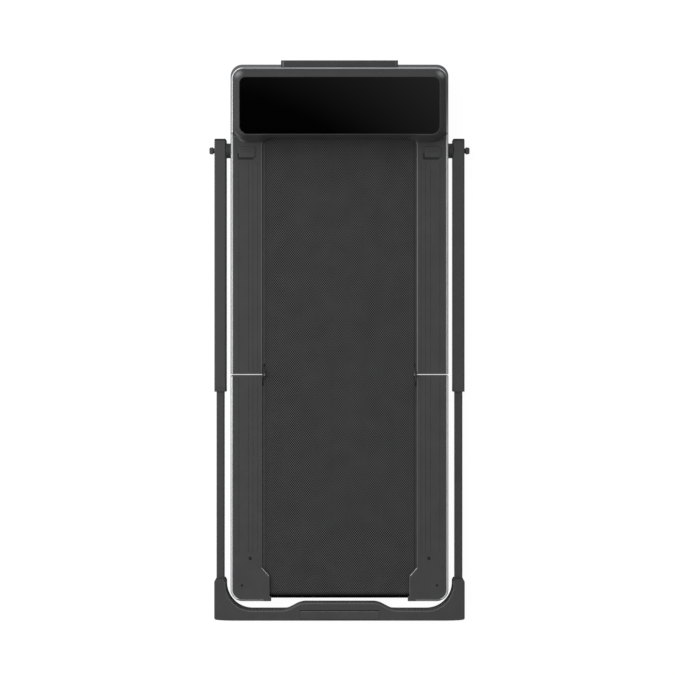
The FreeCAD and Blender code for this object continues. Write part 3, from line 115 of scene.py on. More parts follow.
def grain(tree, shader, size, low, high, bump, rough, stretch=(1, 1, 1), sheen_and_scuff_tone=None):
    """Speckle a surface with noise of a real grain size: two colours, relief and roughness.

    Wide blotches vary the speckle. Faces or points that are marked show the pale colour,
    where one is given: scuffs and painted highlights.
    """
    place = add_node(tree, "ShaderNodeTexCoord").outputs["Object"]
    place = add_node(tree, "ShaderNodeMapping", {"Vector": place, "Scale": stretch}).outputs[0]
    speck = add_node(tree, "ShaderNodeTexNoise", {"Vector": place, "Scale": 1 / size, "Detail": 3})
    blotch = add_node(
        tree, "ShaderNodeTexNoise", {"Vector": place, "Scale": BLOTCH_SCALE / size, "Detail": 2}
    )
    both = add_node(
        tree, "ShaderNodeMath", {0: speck.outputs[0], 1: blotch.outputs[0]}, operation="ADD"
    )
    share = add_node(
        tree, "ShaderNodeMapRange", {0: both.outputs[0], 1: GRAIN_SPREAD[0], 2: GRAIN_SPREAD[1]}
    )
    colour = add_node(
        tree,
        "ShaderNodeMix",
        {"Factor": share.outputs[0], COLOUR_A: srgb(low), COLOUR_B: srgb(high)},
        data_type="RGBA",
    )
    if sheen_and_scuff_tone:
        sheen_and_scuff = add_node(tree, "ShaderNodeAttribute", attribute_name="sheen_and_scuff").outputs["Fac"]
        colour = add_node(
            tree,
            "ShaderNodeMix",
            {"Factor": sheen_and_scuff, COLOUR_A: colour.outputs[COLOUR_OUT], COLOUR_B: srgb(sheen_and_scuff_tone)},
            data_type="RGBA",
        )
    tree.links.new(colour.outputs[COLOUR_OUT], shader.inputs["Base Color"])
    relief = add_node(
        tree, "ShaderNodeBump", {"Height": speck.outputs[0], "Strength": bump, "Distance": size}
    )
    tree.links.new(relief.outputs[0], shader.inputs["Normal"])
    sheen = add_node(
        tree, "ShaderNodeMapRange", {0: share.outputs[0], 3: rough[0], 4: rough[1]}
    )
    tree.links.new(sheen.outputs[0], shader.inputs["Roughness"])


def dress(material, names):
    """Give CAD nodes that stay in sight their finish."""
    for name in names.split():
        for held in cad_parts[name].material_slots:
            held.material = material


# Die lines run along the rails; they are drawn 1.5 mm apart, coarser than real, to show.
# The painted highlight lies on faces that point up, between the two places given along the deck.
DECK_SIDE = 295 * MM
SHINE_FRONT = 740.5 * MM
LAND_ENDS = (-698 * MM, SHINE_FRONT)
LAND_FACING = (0.9, 0.995)
aluminium, tree, shader = new_material("anodised_aluminium", Metallic=1.0)
grain(tree, shader, 1.5 * MM, "#C8CACC", "#D6D8DA", 0.06, (0.46, 0.56), stretch=(1, 0.01, 1))
bright = shader.inputs["Base Color"].links[0].from_socket
place = add_node(tree, "ShaderNodeTexCoord")
facing = add_node(tree, "ShaderNodeSeparateXYZ", {0: place.outputs["Normal"]})
land = add_node(
    tree, "ShaderNodeMapRange", {0: facing.outputs["Z"], 1: LAND_FACING[0], 2: LAND_FACING[1]}
)
ahead = add_node(tree, "ShaderNodeSeparateXYZ", {0: place.outputs["Object"]})
for end, way in zip(LAND_ENDS, (-1, 1)):
    inside = add_node(
        tree,
        "ShaderNodeMapRange",
        {0: ahead.outputs["Y"], 1: end, 2: end + way * MM, 3: 1, 4: 0},
    )
    land = add_node(
        tree, "ShaderNodeMath", {0: land.outputs[0], 1: inside.outputs[0]}, operation="MULTIPLY"
    )
painted_top_sheen = add_node(
    tree,
    "ShaderNodeMix",
    {"Factor": land.outputs[0], COLOUR_A: srgb("#7E8082"), COLOUR_B: bright},
    data_type="RGBA",
    name="painted_top_sheen",
)
tree.links.new(painted_top_sheen.outputs[COLOUR_OUT], shader.inputs["Base Color"])
dress(aluminium, "front_frame_left front_frame_right rear_frame_left rear_frame_right")

# The nose's up-facing land is painted bright on the left and dull in front, on the right and
# along its outer edge, and paler on the right towards the rear: painted highlight and painted
# shade, set as tones at shares of the nose's width, from left to right.
NOSE_TONES = (
    (0.0, "#F4F5F6"),
    (0.025, "#F4F5F6"),
    (0.06, "#868889"),
    (0.5, "#A0A2A4"),
    (0.955, "#A4A6A8"),
    (0.975, "#F0F1F2"),
    (0.985, "#C8CACC"),
    (0.9925, "#787A7C"),
)
SHINE_SIDE, SHINE_ROUND, SHINE_BLUR = 291.6 * MM, 33 * MM, 0.3 * MM
FADE_ENDS = (575 * MM, 665 * MM)
EDGE_ENDS = (60.5 * MM, 61 * MM)
nose_painted_light = aluminium.copy()
nose_painted_light.name = "nose_aluminium_painted_light"
tree = nose_painted_light.node_tree
place = add_node(tree, "ShaderNodeTexCoord").outputs["Object"]
place = add_node(tree, "ShaderNodeSeparateXYZ", {0: place})
across = add_node(
    tree, "ShaderNodeMapRange", {0: place.outputs["X"], 1: -DECK_SIDE, 2: DECK_SIDE}
)
tones = add_node(tree, "ShaderNodeValToRGB", {0: across.outputs[0]})
for number, (spot, tone) in enumerate(NOSE_TONES):
    stops = tones.color_ramp.elements
    stop = stops[number] if number < 2 else stops.new(spot)
    stop.position, stop.color = spot, srgb(tone)
aside = add_node(tree, "ShaderNodeMath", {0: place.outputs["X"]}, operation="ABSOLUTE")
reach = add_node(tree, "ShaderNodeCombineXYZ")
for axis, offset, start in (
    ("X", aside.outputs[0], SHINE_SIDE - SHINE_ROUND),
    ("Y", place.outputs["Y"], SHINE_FRONT - SHINE_ROUND),
):
    past = add_node(tree, "ShaderNodeMath", {0: offset, 1: start}, operation="SUBTRACT")
    past = add_node(tree, "ShaderNodeMath", {0: past.outputs[0], 1: 0}, operation="MAXIMUM")
    tree.links.new(past.outputs[0], reach.inputs[axis])
reach = add_node(tree, "ShaderNodeVectorMath", {0: reach.outputs[0]}, operation="LENGTH")
outer = add_node(
    tree,
    "ShaderNodeMapRange",
    {0: reach.outputs["Value"], 1: SHINE_ROUND - SHINE_BLUR, 2: SHINE_ROUND + SHINE_BLUR},
)
tones = add_node(
    tree,
    "ShaderNodeMix",
    {"Factor": outer.outputs[0], COLOUR_A: tones.outputs[0], COLOUR_B: srgb("#606264")},
    data_type="RGBA",
)
behind = add_node(
    tree,
    "ShaderNodeMapRange",
    {0: place.outputs["Y"], 1: FADE_ENDS[0], 2: FADE_ENDS[1], 3: 1, 4: 0},
)
right = add_node(
    tree, "ShaderNodeMath", {0: place.outputs["X"], 1: 0}, operation="GREATER_THAN"
)
behind = add_node(
    tree, "ShaderNodeMath", {0: behind.outputs[0], 1: right.outputs[0]}, operation="MULTIPLY"
)
tones = add_node(
    tree,
    "ShaderNodeMix",
    {"Factor": behind.outputs[0], COLOUR_A: tones.outputs[COLOUR_OUT], COLOUR_B: srgb("#B4B6B8")},
    data_type="RGBA",
)
# The nose's faces that don't point up are painted darker: a painted shade.
edge = add_node(
    tree, "ShaderNodeMapRange", {0: place.outputs["Z"], 1: EDGE_ENDS[0], 2: EDGE_ENDS[1]}
)
nose_side_shade = add_node(
    tree,
    "ShaderNodeMix",
    {"Factor": edge.outputs[0], COLOUR_A: srgb("#6E7072"), COLOUR_B: srgb("#66686A")},
    data_type="RGBA",
)
painted_top_sheen = tree.nodes["painted_top_sheen"]
tree.links.new(nose_side_shade.outputs[COLOUR_OUT], painted_top_sheen.inputs[COLOUR_A])
tree.links.new(tones.outputs[COLOUR_OUT], painted_top_sheen.inputs[COLOUR_B])
dress(nose_painted_light, "nose_frame")

# Steel under the deck: square cross beams, hinge leaves, belly pan, wheel forks and motor
# saddle, and the handrail's tubes. All are cut or bent mild steel under a charcoal powder
# coat, which leaves a fine orange peel about 2 mm across.
powder_coat, tree, shader = new_material("powder_coated_steel", Specular_IOR_Level=0.25)
grain(tree, shader, 2 * MM, "#353536", "#3A3A3B", 0.05, (0.5, 0.6))
dress(powder_coat, "front_crossmembers rear_crossmembers front_hinge_leaves rear_hinge_leaves")
dress(powder_coat, "belly_pan wheel_forks motor_saddle upright_left upright_right inner_tubes")

# Deck boards and cushions: phenolic-faced fibreboard under the belt, on rubber blocks.
# The board is sawn, so its brown resin paper shows fibres 3 mm long; the rubber is plain.
laminate, tree, shader = new_material("phenolic_faced_board")
grain(tree, shader, 3 * MM, "#4A3524", "#5E452F", 0.1, (0.4, 0.55), stretch=(1, 0.2, 1))
dress(laminate, "front_deck_board rear_deck_board")
rubber, tree, shader = new_material("moulded_rubber")
grain(tree, shader, 1.2 * MM, "#2C2C2D", "#333334", 0.12, (0.7, 0.85))
dress(rubber, "front_deck_cushions rear_deck_cushions drive_belt")

# Rollers, axles, bearings, blocks, bolts and pulleys: turned steel, zinc plated.
# The lathe leaves fine rings round each axis, drawn 1 mm apart so that they show.
zinc, tree, shader = new_material("zinc_plated_steel", Metallic=1.0)
grain(tree, shader, 1 * MM, "#A9ABAE", "#C2C4C6", 0.05, (0.25, 0.4), stretch=(1, 0.05, 0.05))
dress(zinc, "front_roller rear_roller front_roller_axle rear_roller_axle motor_shaft motor_pulley")
dress(zinc, "front_roller_bearings rear_roller_bearings front_roller_brackets roller_pulley")
dress(zinc, "rear_roller_brackets belt_tension_bolts pivot_bolts")

# Walking belt: one endless loop of PVC on a woven backing, 2 mm thick, over both rollers.
# Its face is embossed with small diamonds, and it bends with the deck's fold.
BELT_SIDE = 202.4 * MM
BELT_THICK = 2 * MM
BELT_ROWS = 364
DIAMOND_WIDTH = 5.8 * MM
TURN_STEPS, RUN_CUTS = 28, 300
EMBOSS_SLOPE, EMBOSS_DEPTH = 0.35, 0.6 * MM
EMBOSS_STRENGTH, BELT_ROUGH = 0.5, (0.75, 0.6)
SCUFF_SIZE, SCUFF_SHARE, SCUFF_SPREAD = 60 * MM, 0.05, (0.3, 0.7)
BEND_FACING = (0.84, 0.995)
FOLD_Y = -92.4 * MM
FOLD_REACH = 70 * MM
belt_low, belt_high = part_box("walking_belt")
roller_z = (belt_low.z + belt_high.z) / 2
belt_radius = (belt_high.z - belt_low.z) / 2
front_y = belt_high.y - belt_radius
rear_y = belt_low.y + belt_radius
belt_run = front_y - rear_y
belt_length = 2 * belt_run + 2 * math.pi * belt_radius


def along_belt(spot, middle):
    """How far round the loop a point lies; the face's middle says which stretch it is on."""
    if middle.y > front_y:
        turn = math.atan2(max(spot.y - front_y, 0), spot.z - roller_z)
        return front_y + belt_radius * turn
    if middle.y < rear_y:
        turn = math.atan2(max(rear_y - spot.y, 0), roller_z - spot.z)
        return front_y + belt_run + belt_radius * (math.pi + turn)
    if middle.z < roller_z:
        return front_y + math.pi * belt_radius + front_y - spot.y
    return spot.y


def only_verts(geometry):
    """The points among the points, edges and faces that an operator gives back."""
    return [part for part in geometry if isinstance(part, bmesh.types.BMVert)]


shape = bmesh.new()
turn_starts = ((front_y, belt_high.z), (rear_y, belt_low.z))
ends = []
for y, z in turn_starts:
    start = shape.verts.new((-BELT_SIDE, y, z))
    swept = bmesh.ops.spin(
        shape,
        geom=[start],
        cent=(0, y, roller_z),
        axis=(-1, 0, 0),
        angle=math.pi,
        steps=TURN_STEPS,
    )
    ends.append((start, only_verts(swept["geom_last"])[0]))
runs = [shape.edges.new((ends[0][1], ends[1][0])), shape.edges.new((ends[1][1], ends[0][0]))]
bmesh.ops.subdivide_edges(shape, edges=runs, cuts=RUN_CUTS)
swept = bmesh.ops.extrude_edge_only(shape, edges=shape.edges[:])
bmesh.ops.translate(shape, verts=only_verts(swept["geom"]), vec=(2 * BELT_SIDE, 0, 0))
bmesh.ops.recalc_face_normals(shape, faces=shape.faces[:])
bmesh.ops.solidify(shape, geom=shape.faces[:], thickness=BELT_THICK)
lay = shape.loops.layers.uv.new("round_the_belt")
for face in shape.faces:
    middle = face.calc_center_median()
    for corner in face.loops:
        spot = corner.vert.co
        row = along_belt(spot, middle) * BELT_ROWS / belt_length
        corner[lay].uv = (spot.x / DIAMOND_WIDTH, row)

# PVC is dull and dark grey. Feet leave faint scuffs on it, about 60 mm wide.
pvc, tree, shader = new_material("embossed_pvc", Specular_IOR_Level=0.02)
cell = add_node(tree, "ShaderNodeUVMap", uv_map="round_the_belt").outputs[0]
cell = add_node(tree, "ShaderNodeSeparateXYZ", {0: cell})
waves = []
for way in (0, 1):
    wave = add_node(tree, "ShaderNodeMath", {0: cell.outputs[way], 1: 0.5}, operation="PINGPONG")
    wave = add_node(tree, "ShaderNodeMapRange", {0: wave.outputs[0], 2: 0.5, 3: -1, 4: 1})
    waves.append(wave.outputs[0])
ridge = add_node(tree, "ShaderNodeMath", {0: waves[0], 1: waves[1]}, operation="MULTIPLY")
ridge = add_node(
    tree, "ShaderNodeMapRange", {0: ridge.outputs[0], 1: -EMBOSS_SLOPE, 2: EMBOSS_SLOPE}
)
place = add_node(tree, "ShaderNodeTexCoord").outputs["Object"]
scuff = add_node(
    tree, "ShaderNodeTexNoise", {"Vector": place, "Scale": 1 / SCUFF_SIZE, "Detail": 5}
)
scuff = add_node(
    tree,
    "ShaderNodeMapRange",
    {
        0: scuff.outputs[0],
        1: SCUFF_SPREAD[0],
        2: SCUFF_SPREAD[1],
        3: -SCUFF_SHARE,
        4: SCUFF_SHARE,
    },
)
shade = add_node(
    tree, "ShaderNodeMath", {0: ridge.outputs[0], 1: scuff.outputs[0]}, operation="ADD"
)
# Over the PVC's own dark grey, the emboss's hollows are painted near black and its ridges paler: painted
# shade and highlight that follow the relief.
face_colour = add_node(
    tree,
    "ShaderNodeMix",
    {"Factor": shade.outputs[0], COLOUR_A: srgb("#0E0E0F"), COLOUR_B: srgb("#4B4B4C")},
    data_type="RGBA",
)
# Where the belt turns round a roller, facing neither up nor down, it is painted darker: a painted shade.
lie = add_node(tree, "ShaderNodeTexCoord").outputs["Normal"]
lie = add_node(tree, "ShaderNodeSeparateXYZ", {0: lie}).outputs["Z"]
lie = add_node(tree, "ShaderNodeMath", {0: lie}, operation="ABSOLUTE").outputs[0]
turn_shade = add_node(
    tree, "ShaderNodeMapRange", {0: lie, 1: BEND_FACING[0], 2: BEND_FACING[1], 3: 1, 4: 0}
)
face_colour = face_colour.outputs[COLOUR_OUT]
face_colour = add_node(
    tree,
    "ShaderNodeMix",
    {"Factor": turn_shade.outputs[0], COLOUR_A: face_colour, COLOUR_B: srgb("#070708")},
    data_type="RGBA",
)
tree.links.new(face_colour.outputs[COLOUR_OUT], shader.inputs["Base Color"])
relief = add_node(
    tree,
    "ShaderNodeBump",
    {"Height": ridge.outputs[0], "Strength": EMBOSS_STRENGTH, "Distance": EMBOSS_DEPTH},
)
tree.links.new(relief.outputs[0], shader.inputs["Normal"])
sheen = add_node(
    tree, "ShaderNodeMapRange", {0: shade.outputs[0], 3: BELT_ROUGH[0], 4: BELT_ROUGH[1]}
)
tree.links.new(sheen.outputs[0], shader.inputs["Roughness"])
SHARP_ANGLE = math.radians(32)


def make_piece(name, shape, material, slot, *nodes):
    """Make an object of a finished shape, which stands for the named CAD nodes."""
    mesh = bpy.data.meshes.new(name)
    shape.to_mesh(mesh)
    shape.free()
    mesh.materials.append(material)
    mesh.shade_smooth()
    mesh.set_sharp_from_angle(angle=SHARP_ANGLE)
    piece = bpy.data.objects.new(name, mesh)
    bpy.context.scene.collection.objects.link(piece)
    even = piece.modifiers.new("even_shading", "WEIGHTED_NORMAL")
    even.keep_sharp = True
    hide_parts(*nodes)
    return piece


belt = make_piece("belt_loop", shape, pvc, "belt_rubber", "walking_belt")
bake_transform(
    belt,
    "base",
    "rear_deck",
    start=(0, FOLD_Y + FOLD_REACH, roller_z),
    end=(0, FOLD_Y - FOLD_REACH, roller_z),
)

# Foot rails: four moulded ABS covers beside the belt, two ahead of the fold and two behind
# it, with shallow grip grooves along them. The front ones sweep in under the hood, and the
# rear ones end in a block that steps in over the belt. Pegs below stand on the beams.
RAIL_TOP = 64 * MM
COVER_INNER = 209.5 * MM
UNDER_HOOD = ((243 * MM, 553 * MM, 58.5 * MM), (289 * MM, 586 * MM, 63.4 * MM))
PLATE_THICK = 5.5 * MM
EDGE_ROUND = 2.2 * MM
SKIRT_WIDTH = 3 * MM
SKIRT_BOTTOM = 45 * MM
FRONT_SKIRT_END, REAR_SKIRT_END = 530 * MM, -610 * MM
LIP_LOW, LIP_THICK = 45 * MM, 9.5 * MM
LIP_INNER, LEAF_SPLIT = 202.6 * MM, 205.8 * MM
LIP_CLEAR = 28.2 * MM
# The left lip is painted paler than the right: painted light. The top edges are pale from
# scuffs and painted highlight, and the rear blocks' slope edges paler still: a painted highlight.
LIP_SHEEN = {"left": 0.07, "right": 0.0}
FRONT_EDGE_SHEEN_AND_SCUFF, REAR_EDGE_SHEEN_AND_SCUFF, SLOPE_SHEEN = 0.2, 0.08, 0.6
BEAM_TOP = 34 * MM
PEG_RADIUS = 5 * MM
SWEEP, SWEEP_REST = 20.4 * MM, 4 * MM
GROOVES = (221 * MM, 233.5 * MM, 246 * MM, 272 * MM)
GROOVE_WIDTH = 1.8 * MM
GROOVE_DEPTH = 0.6 * MM
FRONT_GROOVE_ENDS = (-84 * MM, 484 * MM)
REAR_GROOVE_ENDS = (-572 * MM, -98 * MM)
FRONT_PEGS = ((244.5 * MM, -61 * MM), (244.5 * MM, 240 * MM))
REAR_PEGS = ((244.5 * MM, -121 * MM), (244.5 * MM, -400 * MM), (241.7 * MM, -588.5 * MM))
TINY, FLAT = 1e-5, 0.99


def round_off(shape, geometry, radius, steps, affect, clamp=False):
    """Round points or edges of a shape, and return the faces that this makes."""
    made = bmesh.ops.bevel(
        shape,
        geom=geometry,
        offset=radius,
        offset_type="OFFSET",
        segments=steps,
        profile=0.5,
        affect=affect,
        material=-1,
        clamp_overlap=clamp,
    )
    return made["faces"]


def pull(shape, faces, way):
    """Draw faces of a shape out along a vector, and return the points that move."""
    moved = only_verts(bmesh.ops.extrude_face_region(shape, geom=faces)["geom"])
    bmesh.ops.translate(shape, verts=moved, vec=way)
    return moved


def cut_through(shape, spot, normal):
    """Give a shape new edges where a plane crosses it."""
    geometry = shape.verts[:] + shape.edges[:] + shape.faces[:]
    bmesh.ops.bisect_plane(
        shape, geom=geometry, dist=TINY / 10, plane_co=spot, plane_no=normal
    )


def plate(corners, low, high, rounds=()):
    """An upright-sided solid on a plan outline; rounds gives corner numbers with a radius."""
    shape = bmesh.new()
    outline = [shape.verts.new((x, y, low)) for x, y in corners]
    shape.faces.new(outline)
    for numbers, radius, steps in rounds:
        round_off(shape, [outline[number] for number in numbers], radius, steps, "VERTICES")
    pull(shape, shape.faces[:], (0, 0, high - low))
    bmesh.ops.recalc_face_normals(shape, faces=shape.faces[:])
    return shape


def soften(shape, radius, steps, chosen, sheen_and_scuff_share=1):
    """Round the edges whose two ends both pass a test; mark their share of painted sheen and scuff."""
    sheen_and_scuff = shape.faces.layers.float.get("sheen_and_scuff") or shape.faces.layers.float.new("sheen_and_scuff")
    edges = [edge for edge in shape.edges if all(chosen(v.co) for v in edge.verts)]
    for face in round_off(shape, edges, radius, steps, "EDGES", clamp=True):
        face[sheen_and_scuff] = sheen_and_scuff_share


def at_height(z):
    """A test for points at one height."""
    return lambda spot: abs(spot.z - z) < TINY


def press(shape, low, high, top, depth, slope):
    """Press a flat-bottomed hollow into a flat top between two plan corners."""
    for axis in (0, 1):
        for place in (low[axis], high[axis]):
            normal = Vector((1 - axis, axis, 0))
            cut_through(shape, normal * place, normal)
    inside = []
    for face in shape.faces:
        middle = face.calc_center_median()
        within = low[0] < middle.x < high[0] and low[1] < middle.y < high[1]
        if within and abs(middle.z - top) < TINY and face.normal.z > FLAT:
            inside.append(face)
    bmesh.ops.inset_region(shape, faces=inside, thickness=slope, depth=-depth, use_even_offset=True)


def add_bar(shape, low, high):
    """Add a plain bar between two corners to a shape."""
    made = bmesh.ops.create_cube(shape, size=1)["verts"]
    bmesh.ops.scale(shape, verts=made, vec=Vector(high) - Vector(low))
    bmesh.ops.translate(shape, verts=made, vec=(Vector(low) + Vector(high)) / 2)


def add_peg(shape, x, y, low, high, radius):
    """Add an upright round peg to a shape."""
    made = bmesh.ops.create_cone(
        shape, cap_ends=True, segments=24, radius1=radius, radius2=radius, depth=high - low
    )["verts"]
    bmesh.ops.translate(shape, verts=made, vec=(x, y, (low + high) / 2))


def cut_grooves(shape, sign, ends):
    """Press the grip grooves into a cover's top, between two places along it."""
    for groove in GROOVES:
        across = sorted((sign * (groove - GROOVE_WIDTH / 2), sign * (groove + GROOVE_WIDTH / 2)))
        low, high = zip(across, ends)
        press(shape, low, high, RAIL_TOP, GROOVE_DEPTH, GROOVE_WIDTH / 4)


def add_lips(shape, sign, stretches, sheen_and_scuff_share):
    """Add the lip beside the belt: each stretch has two sides across, a start and an end."""
    known = set(shape.faces)
    for near, far, start, end in stretches:
        across = sorted((sign * near, sign * far))
        add_bar(shape, (across[0], start, LIP_LOW), (across[1], end, LIP_LOW + LIP_THICK))
    sheen_and_scuff = shape.faces.layers.float["sheen_and_scuff"]
    for face in set(shape.faces) - known:
        face[sheen_and_scuff] = sheen_and_scuff_share


# Moulded ABS has a fine spark-eroded grain, drawn 1.2 mm across so that it shows.
abs_plastic, tree, shader = new_material("charcoal_abs", Specular_IOR_Level=0.03)
# Its pale tone marks edges and spots, for scuffs and for painted highlights.
grain(tree, shader, 1.2 * MM, "#3D3D3E", "#424243", 0.07, (0.62, 0.72), sheen_and_scuff_tone="#B4B5B6")

plate_low = RAIL_TOP - PLATE_THICK
skirt_inner, skirt_outer = COVER_INNER + TINY, COVER_INNER + SKIRT_WIDTH
for side, sign in (("left", -1), ("right", 1)):
    low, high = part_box(f"front_cover_{side}")
    outer = max(abs(low.x), abs(high.x))
    corners = [
        (COVER_INNER, low.y),
        (COVER_INNER, high.y - SWEEP_REST),
        (COVER_INNER - SWEEP - SWEEP_REST, high.y - SWEEP_REST),
        (COVER_INNER - SWEEP - SWEEP_REST, high.y),
        (outer, high.y),
        (outer, low.y),
    ]
    corners = [(sign * x, y) for x, y in corners]
    shape = plate(corners, plate_low, RAIL_TOP, rounds=[((1,), SWEEP, 10)])
    soften(shape, EDGE_ROUND, 3, at_height(RAIL_TOP), sheen_and_scuff_share=FRONT_EDGE_SHEEN_AND_SCUFF)
    cut_grooves(shape, sign, FRONT_GROOVE_ENDS)
    tucked = sorted((sign * UNDER_HOOD[0][0], sign * UNDER_HOOD[1][0]))
    add_bar(shape, (tucked[0], *UNDER_HOOD[0][1:]), (tucked[1], *UNDER_HOOD[1][1:]))
    skirt = sorted((sign * skirt_inner, sign * skirt_outer))
    add_bar(shape, (skirt[0], low.y + TINY, SKIRT_BOTTOM), (skirt[1], FRONT_SKIRT_END, plate_low))
    stretches = (
        (LIP_INNER, skirt_outer, low.y + LIP_CLEAR, high.y - TINY),
        (LEAF_SPLIT, COVER_INNER, low.y + TINY, low.y + LIP_CLEAR),
    )
    add_lips(shape, sign, stretches, LIP_SHEEN[side])
    for x, y in FRONT_PEGS:
        add_peg(shape, sign * x, y, BEAM_TOP, plate_low, PEG_RADIUS)
    cover = make_piece(
        f"front_foot_rail_{side}", shape, abs_plastic, "charcoal_abs", f"front_cover_{side}"
    )
    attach(cover, "base")

BLOCK_START = -614 * MM
BLOCK_SLOPE = 23 * MM
BLOCK_INNER = 189.4 * MM
BLOCK_TOE = 184.8 * MM
TOE_START = -692 * MM
RETURN_INNER = 205.8 * MM
RETURN_FACE = -699.3 * MM
REAR_CORNER, SLOPE_ROUND, TOE_ROUND = 26.3 * MM, 3 * MM, 1.8 * MM
FOLD_EDGE = -92.1 * MM
for side, sign in (("left", -1), ("right", 1)):
    low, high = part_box(f"rear_cover_{side}")
    outer = max(abs(low.x), abs(high.x))
    corners = [
        (COVER_INNER, FOLD_EDGE),
        (COVER_INNER, BLOCK_START),
        (BLOCK_INNER, BLOCK_START - BLOCK_SLOPE),
        (BLOCK_INNER, TOE_START),
        (BLOCK_TOE, TOE_START),
        (BLOCK_TOE, low.y),
        (RETURN_INNER, low.y),
        (RETURN_INNER, RETURN_FACE),
        (outer, RETURN_FACE),
        (outer, FOLD_EDGE),
    ]
    corners = [(sign * x, y) for x, y in corners]
    turns = [((8,), REAR_CORNER, 12), ((1, 2), SLOPE_ROUND, 4), ((4, 5), TOE_ROUND, 4)]
    shape = plate(corners, plate_low, RAIL_TOP, rounds=turns)
    soften(shape, EDGE_ROUND, 3, at_height(RAIL_TOP), sheen_and_scuff_share=REAR_EDGE_SHEEN_AND_SCUFF)
    sheen_and_scuff = shape.faces.layers.float["sheen_and_scuff"]
    for face in shape.faces:
        middle = face.calc_center_median()
        on_slope = BLOCK_START - BLOCK_SLOPE < middle.y < BLOCK_START
        if on_slope and face[sheen_and_scuff] and abs(middle.x) < COVER_INNER + EDGE_ROUND:
            face[sheen_and_scuff] = SLOPE_SHEEN
    cut_grooves(shape, sign, REAR_GROOVE_ENDS)
    skirt = sorted((sign * skirt_inner, sign * skirt_outer))
    add_bar(shape, (skirt[0], REAR_SKIRT_END, SKIRT_BOTTOM), (skirt[1], high.y - TINY, plate_low))
    stretches = (
        (LIP_INNER, skirt_outer, BLOCK_START - BLOCK_SLOPE, high.y - LIP_CLEAR),
        (LIP_INNER, LEAF_SPLIT, high.y - LIP_CLEAR, high.y - TINY),
    )
    add_lips(shape, sign, stretches, LIP_SHEEN[side])
    for x, y in REAR_PEGS:
        add_peg(shape, sign * x, y, BEAM_TOP, plate_low, PEG_RADIUS)
    cover = make_piece(
        f"rear_foot_rail_{side}", shape, abs_plastic, "charcoal_abs", f"rear_cover_{side}"
    )
    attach(cover, "rear_deck")

# Cover screws: four black-oxide pan heads with a hex socket, which hold the rear covers
# down on the last beam and on the roller's blocks.
SCREWS = ((241.7 * MM, -588.5 * MM, 4 * MM), (264 * MM, -661.7 * MM, 2.8 * MM))
HEAD_RISE = 0.5 * MM
DOME_SHARE, RIM_SHARE = 0.2, 0.25
SOCKET_DEPTH = 1.6 * MM
shape = bmesh.new()
for sign in (-1, 1):
    for x, y, radius in SCREWS:
        known = set(shape.verts)
        add_peg(shape, sign * x, y, plate_low, RAIL_TOP + HEAD_RISE, radius)
        made = [v for v in shape.verts if v not in known]
        top = [f for f in shape.faces if f.calc_center_median().z > RAIL_TOP and f.verts[0] in made]
        bmesh.ops.inset_region(shape, faces=top, thickness=radius * DOME_SHARE, depth=HEAD_RISE / 2)
        bmesh.ops.inset_region(shape, faces=top, thickness=radius * RIM_SHARE, depth=0)
        bmesh.ops.inset_region(shape, faces=top, thickness=TINY, depth=-SOCKET_DEPTH)
bmesh.ops.recalc_face_normals(shape, faces=shape.faces[:])
# Black oxide is a thin dark skin on steel, with a satin speckle 0.8 mm across.
black_oxide, tree, shader = new_material("black_oxide_steel", Metallic=1.0)
grain(tree, shader, 0.8 * MM, "#0A0A0B", "#121213", 0.05, (0.45, 0.6))
screws = make_piece("foot_rail_screws", shape, black_oxide, "bright_steel", "rear_cover_screws")
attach(screws, "rear_deck")

# Fold rests: two soft-touch pads on the front covers, on which the folded rear half lands.
# Each is moulded with fine ribs and a ramp on its right side. A near-black strip along its
# left and rear edges is painted shadow.
pads_low, pads_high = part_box("fold_rest_pads")
PAD_INNER = 226 * MM
PAD_CORNER, PAD_TURN, PAD_ROUND = 8 * MM, 3 * MM, 1.2 * MM
RIB_STEP, RIB_HALF, RIB_DEPTH, RIB_SLOPE = 6.5 * MM, 0.7 * MM, 0.7 * MM, 0.3 * MM
STRIP_THICK, STRIP_LAP = 1.2 * MM, 0.5 * MM
STRIP_LEFT, STRIP_REAR, STRIP_ARM = 4.4 * MM, 5.2 * MM, 17 * MM
PAD_RAMP, RAMP_FALL, RAMP_TOE = 10 * MM, 3.2 * MM, 0.2 * MM
# A soft-touch elastomer is dull, with a faint bloom 2 mm across; where marked, its edges are painted pale as
# a highlight.
soft_touch, tree, shader = new_material("soft_touch_elastomer", Specular_IOR_Level=0.04)
grain(tree, shader, 2 * MM, "#3F3F40", "#454546", 0.04, (0.75, 0.85), sheen_and_scuff_tone="#8A8B8C")
